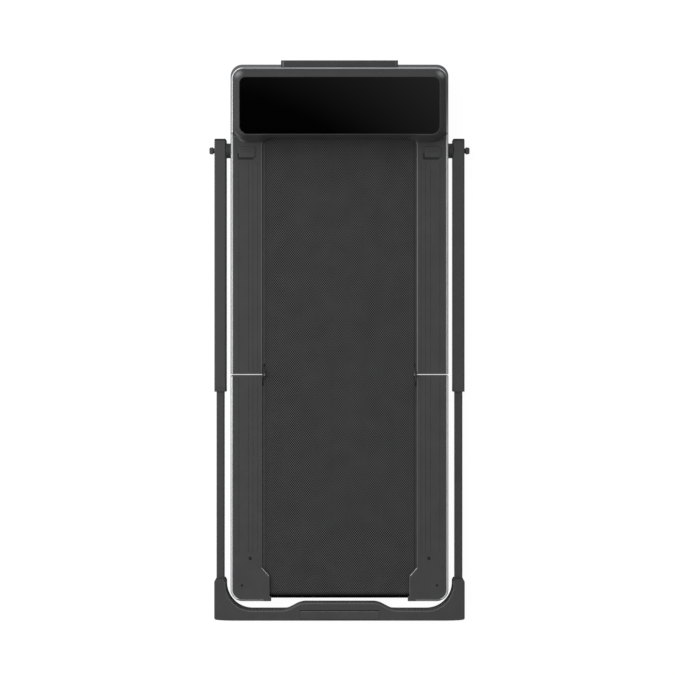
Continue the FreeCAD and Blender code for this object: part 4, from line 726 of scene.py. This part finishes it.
# A near-black with pores 1 mm across, used as painted shadow beside the pads and in the grip's groove.
shadow_black, tree, shader = new_material("painted_shadow_black", Specular_IOR_Level=0.05)
grain(tree, shader, 1 * MM, "#282829", "#2F2F30", 0.15, (0.85, 0.95))
shape = bmesh.new()
for sign in (-1, 1):
    across = sorted((sign * PAD_INNER, sign * pads_high.x))
    left, right = across[0] + STRIP_LEFT, across[1]
    rear = pads_low.y + STRIP_REAR
    corners = [(left, rear), (right, rear), (right, pads_high.y), (left, pads_high.y)]
    turns = [((0,), PAD_TURN, 5), ((1,), PAD_CORNER, 8), ((2, 3), PAD_TURN, 5)]
    pad = plate(corners, pads_low.z, pads_high.z, rounds=turns)
    soften(pad, PAD_ROUND, 3, at_height(pads_high.z), sheen_and_scuff_share=0)
    for rib in (1, 2):
        y = pads_high.y - rib * RIB_STEP
        press(
            pad,
            (left + PAD_TURN, y - RIB_HALF),
            (right - PAD_RAMP, y + RIB_HALF),
            pads_high.z,
            RIB_DEPTH,
            RIB_SLOPE,
        )
    for vert in pad.verts:
        share = (vert.co.x - right + PAD_RAMP) / PAD_RAMP
        if share > 0 and vert.co.z > pads_low.z + TINY:
            vert.co.z = max(vert.co.z - share * RAMP_FALL, pads_low.z + RAMP_TOE)
    corners = [
        (across[0], pads_low.y),
        (right - PAD_CORNER, pads_low.y),
        (right - PAD_CORNER, rear + STRIP_LAP),
        (left + STRIP_LAP, rear + STRIP_LAP),
        (left + STRIP_LAP, pads_low.y + STRIP_ARM),
        (across[0], pads_low.y + STRIP_ARM),
    ]
    shadow_strip = plate(corners, pads_low.z, pads_low.z + STRIP_THICK, rounds=[((0,), PAD_TURN, 5)])
    for face in shadow_strip.faces:
        face.material_index = 1
    for part in (pad, shadow_strip):
        half = bpy.data.meshes.new("half")
        part.to_mesh(half)
        part.free()
        shape.from_mesh(half)
        bpy.data.meshes.remove(half)
pads = make_piece("fold_rests", shape, soft_touch, "soft_rubber", "fold_rest_pads")
pads.data.materials.append(shadow_black)
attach(pads, "base")

# Drive: a motor in black stoving enamel, and the circuit boards beside and above it.
# All sit under the hood; the boards are green glass-filled laminate with copper tracks.
enamel, tree, shader = new_material("stoving_enamel", Coat_Weight=0.4, Coat_Roughness=0.15)
grain(tree, shader, 4 * MM, "#1B1B1C", "#222223", 0.03, (0.3, 0.4))
dress(enamel, "drive_motor")
circuit, tree, shader = new_material("circuit_laminate", Coat_Weight=0.3, Coat_Roughness=0.2)
grain(tree, shader, 2.5 * MM, "#12492C", "#1F6B40", 0.1, (0.3, 0.45))
dress(circuit, "circuit_boards")

# Motor hood: one ABS shell over the motor, with steep sides, a soft shoulder and a thin lip
# round its glass top. It stands on the covers and the nose frame, screwed from below.
RECESS_OUT, RECESS_IN, RECESS_ROUND = 209.5, 189.0, 8
# Each ring is height, half width, rear edge beside and over the belt, front edge, and the
# rear and front corner radius. They run from the inside, out under the foot and up outside.
HOOD_RINGS = (
    (125.4, 262.0, 550.6, 550.8, 696.0, 18, 13),
    (122.0, 270.0, 546.8, 549.8, 707.0, 24, 18),
    (112.0, 278.8, 545.8, 550.4, 719.0, 30, 22),
    (100.0, 281.8, 544.4, 550.8, 724.0, 34, 22.5),
    (64.4, 286.7, 538.9, 551.5, 733.2, 39.5, 22.5),
    (64.0, 289.2, 536.2, 549.0, 735.7, 42, 25),
    (66.0, 289.0, 536.8, 549.0, 735.3, 42, 25),
    (90.0, 286.6, 539.6, 548.6, 729.6, 40, 25),
    (104.0, 284.4, 541.2, 548.0, 726.0, 37, 25),
    (112.0, 281.8, 542.4, 547.6, 722.6, 34, 25),
    (118.0, 278.6, 543.2, 547.2, 718.0, 31, 24),
    (122.5, 275.2, 543.8, 546.8, 713.2, 28.5, 22.5),
    (126.0, 271.8, 544.4, 546.5, 708.4, 26, 21),
    (128.6, 269.2, 545.0, 546.4, 704.8, 24.5, 19.5),
    (130.2, 267.2, 545.8, 546.5, 702.2, 23.2, 18.2),
    (131.0, 266.2, 546.8, 547.2, 701.0, 22.3, 17.3),
    (130.9, 265.7, 547.6, 547.9, 700.3, 21.8, 16.8),
    (130.4, 265.5, 548.1, 548.2, 699.7, 21.4, 16.4),
    (127.9, 265.5, 548.1, 548.2, 699.7, 21.4, 16.4),
)
# Painted highlights: pale spots on the hood's two front corners and, with two spots, on its
# left rear corner. Each spot is a place and a share of the pale colour, which fades out over
# the reach given below.
CORNER_HIGHLIGHTS = (
    (Vector((-269, 709, 117)), 0.5),
    (Vector((269, 709, 117)), 0.7),
    (Vector((-273, 551, 100)), 0.36),
    (Vector((-265, 543, 72)), 0.5),
)
HIGHLIGHT_REACH, HIGHLIGHT_FALL = 17, 1.4
shape = bmesh.new()
sheen_and_scuff = shape.verts.layers.float.new("sheen_and_scuff")
rims = []
for z, half, rear, middle, front, rear_round, front_round in HOOD_RINGS:
    right_rear = [(RECESS_IN, middle), (RECESS_OUT, rear), (half, rear)]
    left_rear = [(-x, y) for x, y in reversed(right_rear)]
    corners = left_rear + right_rear + [(half, front), (-half, front)]
    ring = [shape.verts.new((x * MM, y * MM, z * MM)) for x, y in corners]
    shape.faces.new(ring)
    turns = (((0, 5), rear_round, 14), ((6, 7), front_round, 14), ((1, 2, 3, 4), RECESS_ROUND, 4))
    for numbers, radius, steps in turns:
        round_off(shape, [ring[number] for number in numbers], radius * MM, steps, "VERTICES")
    known = {edge for rim in rims for edge in rim}
    rims.append([edge for edge in shape.edges if edge not in known])
heights = {ring[0] * MM for ring in (HOOD_RINGS[0], HOOD_RINGS[-1])}
between = [
    face
    for face in shape.faces
    if min(abs(face.calc_center_median().z - height) for height in heights) > TINY
]
bmesh.ops.delete(shape, geom=between, context="FACES_ONLY")
for below, above in zip(rims, rims[1:]):
    bmesh.ops.bridge_loops(shape, edges=below + above)
bmesh.ops.recalc_face_normals(shape, faces=shape.faces[:])
# Painted highlights at the hood's corners.
for vert in shape.verts:
    for spot, sheen_and_scuff_share in CORNER_HIGHLIGHTS:
        near = max(1 - (vert.co / MM - spot).length / HIGHLIGHT_REACH, 0)
        vert[sheen_and_scuff] = max(vert[sheen_and_scuff], near ** HIGHLIGHT_FALL * sheen_and_scuff_share)
hood = make_piece("motor_cover", shape, abs_plastic, "charcoal_abs", "motor_hood")
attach(hood, "base")

# Display glass: a plate of float glass set flush in the hood, printed black behind, with
# ground edges. It mirrors the room faintly and carries a little dust.
GLASS_REAR_ROUND, GLASS_FRONT_ROUND, GLASS_GRIND = 21 * MM, 16 * MM, 0.7 * MM
low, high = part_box("display_glass")
corners = [(low.x, low.y), (high.x, low.y), (high.x, high.y), (low.x, high.y)]
turns = [((0, 1), GLASS_REAR_ROUND, 16), ((2, 3), GLASS_FRONT_ROUND, 16)]
shape = plate(corners, low.z, high.z, rounds=turns)
soften(shape, GLASS_GRIND, 3, at_height(high.z))
black_glass, tree, shader = new_material("black_printed_glass", IOR=1.5)
grain(tree, shader, 5 * MM, "#010101", "#020203", 0.0, (0.03, 0.05))
glass = make_piece("hood_glass", shape, black_glass, "black_glass", "display_glass")
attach(glass, "base")

# Mains inlet and switch: a moulded black nylon socket with contacts, and a rocker beside
# it, pushed into the nose. Nylon has a dull sheen, with faint flow marks.
nylon, tree, shader = new_material("moulded_nylon", Specular_IOR_Level=0.3)
grain(tree, shader, 3 * MM, "#151516", "#1C1C1D", 0.04, (0.5, 0.6))
dress(nylon, "power_inlet switch_rocker slide_bushes")

# Standing bar: a soft-touch bar on the front of the nose, on which the folded pad stands
# upright. It is moulded, bolted to the nose wall, and closed by a flanged cap at each end.
stand_low, stand_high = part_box("stand_bar")
STAND_CAP = 6 * MM
STAND_SLOPE = 4 * MM
STAND_ROUND = 0.8 * MM
FLANGE_WIDTH, FLANGE_RISE, FLANGE_INSET = 1.8 * MM, 0.3 * MM, 1 * MM
# The left flange is painted much paler than the right: a painted highlight.
FLANGE_SHEEN = (1, 0.25)
NOSE_FRONT = 748 * MM
BAR_SECTION = (
    (NOSE_FRONT, stand_low.z),
    (stand_high.y, stand_low.z + STAND_SLOPE),
    (stand_high.y, stand_high.z - STAND_SLOPE),
    (stand_high.y - STAND_SLOPE, stand_high.z),
    (stand_low.y, stand_high.z),
    (stand_low.y, RAIL_TOP),
    (NOSE_FRONT, RAIL_TOP),
)
shape = bmesh.new()
stretches = (
    (stand_low.x, stand_low.x + STAND_CAP),
    (stand_low.x + STAND_CAP, stand_high.x - STAND_CAP),
    (stand_high.x - STAND_CAP, stand_high.x),
)
for start, end in stretches:
    ring = [shape.verts.new((start, y, z)) for y, z in BAR_SECTION]
    pull(shape, [shape.faces.new(ring)], (end - start, 0, 0))
bmesh.ops.recalc_face_normals(shape, faces=shape.faces[:])
soften(shape, STAND_ROUND, 2, lambda spot: True, sheen_and_scuff_share=0)
sheen_and_scuff = shape.faces.layers.float["sheen_and_scuff"]
seams = (stand_low.x + STAND_CAP, stand_high.x - STAND_CAP)
for seam, sheen_and_scuff_share in zip(seams, FLANGE_SHEEN):
    known = set(shape.faces)
    add_bar(
        shape,
        (seam - FLANGE_WIDTH / 2, stand_low.y + FLANGE_INSET, RAIL_TOP),
        (seam + FLANGE_WIDTH / 2, stand_high.y - STAND_SLOPE, stand_high.z + FLANGE_RISE),
    )
    for face in set(shape.faces) - known:
        face[sheen_and_scuff] = sheen_and_scuff_share
stand = make_piece("standing_bar", shape, soft_touch, "soft_rubber", "stand_bar")
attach(stand, "base")

# Feet: moulded rubber pucks, screwed to the rails from below. Each has a chamfered rim, and
# a ring groove in its sole for grip.
FOOT_SIDE, FOOT_RADIUS = 278 * MM, 12 * MM
FOOT_PROFILE = (
    (0, 10),
    (11, 10),
    (12, 9),
    (12, 2.5),
    (10.5, 0.4),
    (8, 0),
    (7, 0.8),
    (6, 0),
    (0, 0),
)


def turned(shape, profile, centre, axis, start, steps):
    """Add a turned form: profile gives radius and place along the axis, start the first spoke."""
    spots = [centre + start * (radius * MM) + axis * (along * MM) for radius, along in profile]
    ring = [shape.verts.new(spot) for spot in spots]
    edges = [shape.edges.new(ends) for ends in zip(ring, ring[1:])]
    bmesh.ops.spin(
        shape,
        geom=ring + edges,
        cent=centre,
        axis=axis,
        angle=2 * math.pi,
        steps=steps,
        use_merge=True,
    )
    bmesh.ops.remove_doubles(shape, verts=shape.verts[:], dist=TINY)
    bmesh.ops.recalc_face_normals(shape, faces=shape.faces[:])


UP, RIGHT = Vector((0, 0, 1)), Vector((1, 0, 0))
for name, body in (("front_feet", "base"), ("rear_feet", "rear_deck")):
    low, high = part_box(name)
    shape = bmesh.new()
    for x in (-FOOT_SIDE, FOOT_SIDE):
        for y in (low.y + FOOT_RADIUS, high.y - FOOT_RADIUS):
            turned(shape, FOOT_PROFILE, Vector((x, y, 0)), UP, RIGHT, 32)
    pucks = make_piece(name + "_pucks", shape, rubber, "soft_rubber", name)
    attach(pucks, body)

# Transport wheels: two hard nylon wheels under the nose, turning on short axles in forks.
# Each has a rounded tread and a dished web; the moulding leaves a faint speckle.
WHEEL_PROFILE = (
    (3.1, -6),
    (6, -6),
    (6, -4),
    (13, -4),
    (14, -7),
    (16.5, -8),
    (17.6, -6.5),
    (18, -3),
    (18, 3),
    (17.6, 6.5),
    (16.5, 8),
    (14, 7),
    (13, 4),
    (6, 4),
    (6, 6),
    (3.1, 6),
    (3.1, -6),
)
hard_nylon, tree, shader = new_material("speckled_nylon")
grain(tree, shader, 1.5 * MM, "#232324", "#2C2C2D", 0.06, (0.45, 0.6))
for side in ("left", "right"):
    low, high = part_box(f"transport_wheel_{side}")
    shape = bmesh.new()
    turned(shape, WHEEL_PROFILE, (low + high) / 2, RIGHT, UP, 48)
    wheel = make_piece(
        f"rolling_wheel_{side}", shape, hard_nylon, "wheel_nylon", f"transport_wheel_{side}"
    )
    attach(wheel, f"transport_wheel_{side}")

# Handrail pivots: a ribbed black nylon spacer between rail and upright on each side, and a
# winged clamp knob outside the upright, which screws onto the pivot bolt's end.
BOSS_PROFILE = (
    (6.2, 0),
    (19.5, 0),
    (20.3, 0.8),
    (20.3, 3.4),
    (19.5, 3.8),
    (19.5, 5.2),
    (20.3, 5.6),
    (20.3, 7.6),
    (19.5, 8.0),
    (19.5, 9.4),
    (20.3, 9.8),
    (20.3, 12.0),
    (19.6, 12.7),
    (6.2, 12.7),
    (6.2, 0),
)
PIVOT_Y = 517.9 * MM
PIVOT_Z = 38 * MM
shape = bmesh.new()
for sign in (-1, 1):
    seat = Vector((sign * DECK_SIDE, PIVOT_Y, PIVOT_Z))
    turned(shape, BOSS_PROFILE, seat, RIGHT * sign, UP, 48)
# Glass-filled nylon is greyer than plain nylon, with a speckle 2 mm across.
filled_nylon, tree, shader = new_material("glass_filled_nylon", Specular_IOR_Level=0.3)
grain(tree, shader, 2 * MM, "#29292A", "#303031", 0.05, (0.5, 0.6))
bosses = make_piece("pivot_spacers", shape, filled_nylon, "black_plastic", "pivot_bosses")
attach(bosses, "base")

KNOB_OUTLINE = (
    (-9.8, 3.4),
    (-4.6, 7.6),
    (4.6, 7.6),
    (9.8, 3.4),
    (9.8, -3.4),
    (4.6, -7.6),
    (-4.6, -7.6),
    (-9.8, -3.4),
)
KNOB_NECK = 4 * MM
KNOB_TAPER, KNOB_ROUND, KNOB_WEAR = 0.84, 1.4 * MM, 0.05
NECK_PROFILE = ((6.3, 0), (7.2, 0), (7.2, 3), (6.4, 4.4), (6.3, 4.4), (6.3, 0))
for side, sign in (("left", -1), ("right", 1)):
    low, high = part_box(f"clamp_knob_{side}")
    root, tip = sorted((low.x, high.x), key=abs)
    shape = bmesh.new()
    ring = [
        shape.verts.new((root + sign * KNOB_NECK, PIVOT_Y + y * MM, PIVOT_Z + z * MM))
        for y, z in KNOB_OUTLINE
    ]
    moved = pull(shape, [shape.faces.new(ring)], (tip - root - sign * KNOB_NECK, 0, 0))
    bmesh.ops.scale(
        shape,
        verts=moved,
        vec=(1, KNOB_TAPER, KNOB_TAPER),
        space=Matrix.Translation((0, -PIVOT_Y, -PIVOT_Z)),
    )
    bmesh.ops.recalc_face_normals(shape, faces=shape.faces[:])
    soften(shape, KNOB_ROUND, 3, lambda spot: True, sheen_and_scuff_share=KNOB_WEAR)
    # The neck is drawn in dark nylon: partly the part's own black, partly painted shade where the knob meets
    # the upright.
    known = set(shape.faces)
    turned(shape, NECK_PROFILE, Vector((root, PIVOT_Y, PIVOT_Z)), RIGHT * sign, UP, 32)
    for face in set(shape.faces) - known:
        face.material_index = 1
    knob = make_piece(
        f"winged_knob_{side}", shape, abs_plastic, "black_plastic", f"clamp_knob_{side}"
    )
    knob.data.materials.append(nylon)
    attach(knob, f"clamp_knob_{side}")

# Upright ends: a moulded cap closes the top of each upright, and a collar at its lower end
# guides the inner tube. Both are pressed in, with chamfered outer edges.
TUBE_X = 324 * MM
TUBE_HALF, TUBE_DEEP, TUBE_ROUND = 16 * MM, 15 * MM, 4 * MM
CAP_LENGTH, CAP_CHAMFER = 6 * MM, 3.6 * MM
COLLAR_LENGTH, COLLAR_CHAMFER = 13.4 * MM, 1 * MM
TUBE_CORNERS = (
    (-TUBE_HALF, -TUBE_DEEP),
    (TUBE_HALF, -TUBE_DEEP),
    (TUBE_HALF, TUBE_DEEP),
    (-TUBE_HALF, TUBE_DEEP),
)
ends_low, ends_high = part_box("upright_end_pieces")
shape = bmesh.new()
for sign in (-1, 1):
    for start, end, cut in (
        (ends_high.y - CAP_LENGTH, ends_high.y, CAP_CHAMFER),
        (ends_low.y + COLLAR_LENGTH, ends_low.y, COLLAR_CHAMFER),
    ):
        known = set(shape.verts)
        centre = sign * TUBE_X
        ring = [shape.verts.new((centre + x, start, PIVOT_Z + z)) for x, z in TUBE_CORNERS]
        shape.faces.new(ring)
        round_off(shape, ring, TUBE_ROUND, 8, "VERTICES")
        made = [f for f in shape.faces if not known.intersection(f.verts)]
        moved = set(pull(shape, made, (0, end - start, 0)))
        bmesh.ops.recalc_face_normals(shape, faces=shape.faces[:])
        rim = [e for e in shape.edges if moved.issuperset(e.verts)]
        round_off(shape, rim, cut, 3, "EDGES")
        for face in shape.faces:
            if face.calc_center_median().y > ends_high.y - CAP_LENGTH - TINY:
                face.material_index = 1
tube_ends = make_piece(
    "upright_caps_and_collars", shape, abs_plastic, "black_plastic", "upright_end_pieces"
)
tube_ends.data.materials.append(nylon)
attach(tube_ends, "handrail")

# Handlebar: one soft-edged ABS moulding over the inner tubes' ends, with a long straight
# back edge, wide inner corners and a ledge in the middle that faces the deck.
BAR_LOW, BAR_TOP = 17 * MM, 57 * MM
LEDGE_LOW = 29 * MM
GRIP_REAR = -755.2 * MM
MOUTH_Y, SHOULDER_Y = -646.7, -654.0
INNER_Y, LEDGE_Y = -731.6, -710.4
LEDGE_HALF = 160 * MM
TOP_ROUND, FOOT_ROUND = 5 * MM, 2.5 * MM
INNER_EDGE, EDGE_SHEEN = 0.7 * MM, 0.1
WALL_FACING, WALL_PAINTED_LIGHT = 0.2, 0.06
BAR_HALF = (
    (308.0, SHOULDER_Y),
    (312.0, MOUTH_Y),
    (336.0, MOUTH_Y),
    (340.0, SHOULDER_Y),
    (340.0, -756.6),
    (325.0, -758.4),
    (310.0, -759.2),
    (290.0, -759.6),
)
INNER_HALF = ((104.0, LEDGE_Y), (145.0, INNER_Y), (308.0, INNER_Y))
BAR_TURNS = (
    (INNER_HALF[2:], 70 * MM, 20),
    (BAR_HALF[4:5], 5 * MM, 6),
    (INNER_HALF[1:2], 14 * MM, 6),
    (INNER_HALF[:1], 12 * MM, 6),
    (BAR_HALF[:4], 1.8 * MM, 3),
)
left_half = [(-x, y) for x, y in reversed(BAR_HALF)]
inner_left = [(-x, y) for x, y in reversed(INNER_HALF)]
corners = list(BAR_HALF) + left_half + inner_left + list(INNER_HALF)
numbers = {spot: number for number, spot in enumerate(corners)}
rounds = [
    ([numbers[(sign * x, y)] for sign in (-1, 1) for x, y in spots], radius, steps)
    for spots, radius, steps in BAR_TURNS
]
shape = plate([(x * MM, y * MM) for x, y in corners], BAR_LOW, BAR_TOP, rounds=rounds)
cut_through(shape, (0, 0, LEDGE_LOW), UP)
for vert in shape.verts:
    past = vert.co.y > INNER_Y * MM and abs(vert.co.x) < LEDGE_HALF
    if past and abs(vert.co.z - BAR_LOW) < TINY:
        vert.co.y = INNER_Y * MM
soften(shape, TOP_ROUND, 6, at_height(BAR_TOP), sheen_and_scuff_share=0)
soften(shape, FOOT_ROUND, 3, at_height(BAR_LOW), sheen_and_scuff_share=0)
sheen_and_scuff = shape.faces.layers.float["sheen_and_scuff"]
# The inner top edge is painted pale, a painted highlight, and the inner wall that faces the deck slightly
# paler, painted light.
for face in shape.faces:
    middle = face.calc_center_median()
    inner = GRIP_REAR < middle.y < SHOULDER_Y * MM and abs(middle.x) < TUBE_X
    if inner and TINY < BAR_TOP - middle.z < INNER_EDGE:
        face[sheen_and_scuff] = EDGE_SHEEN
    elif inner and face.normal.y > WALL_FACING:
        face[sheen_and_scuff] = WALL_PAINTED_LIGHT
GRIP_LOW = (-108 * MM, GRIP_REAR)
GRIP_HIGH = (108 * MM, -730.2 * MM)
GRIP_SINK, GRIP_SLOPE = 1.4 * MM, 0.2 * MM
press(shape, GRIP_LOW, GRIP_HIGH, BAR_TOP, GRIP_SINK, GRIP_SLOPE)
# The recess floor, seen in the grip's groove, is drawn near black: painted shade.
for face in shape.faces:
    if abs(face.calc_center_median().z - BAR_TOP + GRIP_SINK) < TINY and face.normal.z > FLAT:
        face.material_index = 1
bar = make_piece(
    "handlebar_moulding",
    shape,
    abs_plastic,
    "charcoal_abs",
    "handle_corner_left",
    "handle_corner_right",
    "handle_bridge",
)
bar.data.materials.append(shadow_black)
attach(bar, "handlebar")

# Grip pad: a flat soft-touch inlay, moulded and pressed into the top of the handlebar, with
# a groove along its inner edge.
GRIP_GAP = 0.25 * MM
GRIP_GROOVE = 3.4 * MM
GRIP_CORNER, GRIP_ROUND = 1.5 * MM, 1.2 * MM
GRIP_EDGE_SHEEN = 0.3
left, right = GRIP_LOW[0] + GRIP_GAP, GRIP_HIGH[0] - GRIP_GAP
rear, front = GRIP_LOW[1] + GRIP_GAP, GRIP_HIGH[1] - GRIP_GROOVE
corners = [(left, rear), (right, rear), (right, front), (left, front)]
turns = [((0, 1, 2, 3), GRIP_CORNER, 4)]
shape = plate(corners, BAR_TOP - GRIP_SINK, BAR_TOP, rounds=turns)
soften(shape, GRIP_ROUND, 4, at_height(BAR_TOP), sheen_and_scuff_share=0)
sheen_and_scuff = shape.faces.layers.float["sheen_and_scuff"]
# The inlay's inner edge is painted pale: a painted highlight.
for face in shape.faces:
    middle = face.calc_center_median()
    if middle.y > front - GRIP_ROUND and middle.z > BAR_TOP - GRIP_ROUND / 2:
        face[sheen_and_scuff] = GRIP_EDGE_SHEEN
grip = make_piece("grip_inlay", shape, soft_touch, "soft_rubber", "grip_pad")
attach(grip, "handlebar")

# Studio: a white floor that keeps the pad's soft shadow, two broad lamps and a pale world.
# The floor is paper, which looks white to the eye and in mirrors, and throws back less light.
FLOOR_HALF, FLOOR_DROP = 8, 0.2 * MM
shape = bmesh.new()
bmesh.ops.create_grid(shape, x_segments=1, y_segments=1, size=FLOOR_HALF)
mesh = bpy.data.meshes.new("studio_floor")
shape.to_mesh(mesh)
shape.free()
floor = bpy.data.objects.new("studio_floor", mesh)
floor.location.z = -FLOOR_DROP
bpy.context.scene.collection.objects.link(floor)
floor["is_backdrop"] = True
paper = bpy.data.materials.new("white_paper")
paper.use_nodes = True
tree = paper.node_tree
tree.nodes.clear()
matt = add_node(tree, "ShaderNodeBsdfDiffuse", {"Color": srgb("#606060")})
shadow = add_node(tree, "ShaderNodeBsdfDiffuse", {"Color": srgb("#484848")})
glow = add_node(tree, "ShaderNodeEmission", {"Color": srgb("#FFFFFF"), "Strength": 0.955})
both = add_node(tree, "ShaderNodeAddShader", {0: shadow.outputs[0], 1: glow.outputs[0]})
path = add_node(tree, "ShaderNodeLightPath")
seen = add_node(
    tree,
    "ShaderNodeMath",
    {0: path.outputs["Is Camera Ray"], 1: path.outputs["Is Glossy Ray"]},
    operation="MAXIMUM",
)
seen = add_node(
    tree,
    "ShaderNodeMath",
    {0: seen.outputs[0], 1: path.outputs["Is Transmission Ray"]},
    operation="MAXIMUM",
)
mixed = add_node(
    tree, "ShaderNodeMixShader", {0: seen.outputs[0], 1: matt.outputs[0], 2: both.outputs[0]}
)
add_node(tree, "ShaderNodeOutputMaterial", {"Surface": mixed.outputs[0]})
mesh.materials.append(paper)

# Each lamp has a name, a place and a width in metres, a power in watts, and whether it is
# mirrored in glossy surfaces.
LAMPS = (
    ("soft_left", (-3.0, 0.9, 1.5), 2.8, 46, False),
    ("soft_top", (-1.3, 0.5, 3.2), 1.2, 33, True),
)
for name, place, width, power, mirrored in LAMPS:
    lamp = bpy.data.lights.new(name, "AREA")
    lamp.size = width
    lamp.energy = power
    held = bpy.data.objects.new(name, lamp)
    held.location = place
    held.visible_glossy = mirrored
    held.rotation_euler = (-Vector(place)).to_track_quat("-Z", "Y").to_euler()
    bpy.context.scene.collection.objects.link(held)

# The room is brighter to the left, white low down, and dark straight above.
LIGHT_SIDE, LIGHT_SPREAD, LIGHT_LEVELS = (-0.6, 0.3, 0.5), (-0.6, 1), (0.14, 1.45)
DARK_PATCH, PATCH_EDGE, PATCH_LEVEL = (-0.13, -0.03, 0.991), (0.9026, 0.972), 0.004
SKIRTING_TOP = (0.05, 0.2)
world = bpy.data.worlds.new("pale_room")
world.use_nodes = True
tree = world.node_tree
way = add_node(tree, "ShaderNodeTexCoord").outputs["Generated"]
side = add_node(
    tree, "ShaderNodeVectorMath", {0: way, 1: LIGHT_SIDE}, operation="DOT_PRODUCT"
).outputs["Value"]
side = add_node(
    tree,
    "ShaderNodeMapRange",
    {
        0: side,
        1: LIGHT_SPREAD[0],
        2: LIGHT_SPREAD[1],
        3: LIGHT_LEVELS[0],
        4: LIGHT_LEVELS[1],
    },
)
above = add_node(
    tree, "ShaderNodeVectorMath", {0: way, 1: DARK_PATCH}, operation="DOT_PRODUCT"
).outputs["Value"]
above = add_node(
    tree,
    "ShaderNodeMapRange",
    {0: above, 1: PATCH_EDGE[0], 2: PATCH_EDGE[1], 3: 1, 4: PATCH_LEVEL},
)
level = add_node(
    tree, "ShaderNodeMath", {0: side.outputs[0], 1: above.outputs[0]}, operation="MULTIPLY"
)
height = add_node(tree, "ShaderNodeSeparateXYZ", {0: way}).outputs["Z"]
skirting = add_node(
    tree, "ShaderNodeMapRange", {0: height, 1: SKIRTING_TOP[0], 2: SKIRTING_TOP[1], 3: 1, 4: 0}
)
level = add_node(
    tree, "ShaderNodeMath", {0: level.outputs[0], 1: skirting.outputs[0]}, operation="MAXIMUM"
)
tree.links.new(level.outputs[0], tree.nodes["Background"].inputs["Strength"])
tree.nodes["Background"].inputs["Color"].default_value = srgb("#FFFFFF")
bpy.context.scene.world = world
bpy.context.scene.view_settings.view_transform = "Standard"

# Camera: straight above the pad, with the hood at the top. What it sees across is given at
# the height of the foot rails.
VIEW_HEIGHT = 3264 * MM
VIEW_ACROSS = 1826.2125 * MM
VIEW_CENTRE = (-5.4 * MM, 9.0 * MM)
lens = bpy.data.cameras.new("plan_camera")
lens.sensor_fit = "HORIZONTAL"
lens.angle = 2 * math.atan(VIEW_ACROSS / 2 / (VIEW_HEIGHT - RAIL_TOP))
camera = bpy.data.objects.new("plan_camera", lens)
camera.location = (*VIEW_CENTRE, VIEW_HEIGHT)
bpy.context.scene.collection.objects.link(camera)
bpy.context.scene.camera = camera

low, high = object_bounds()
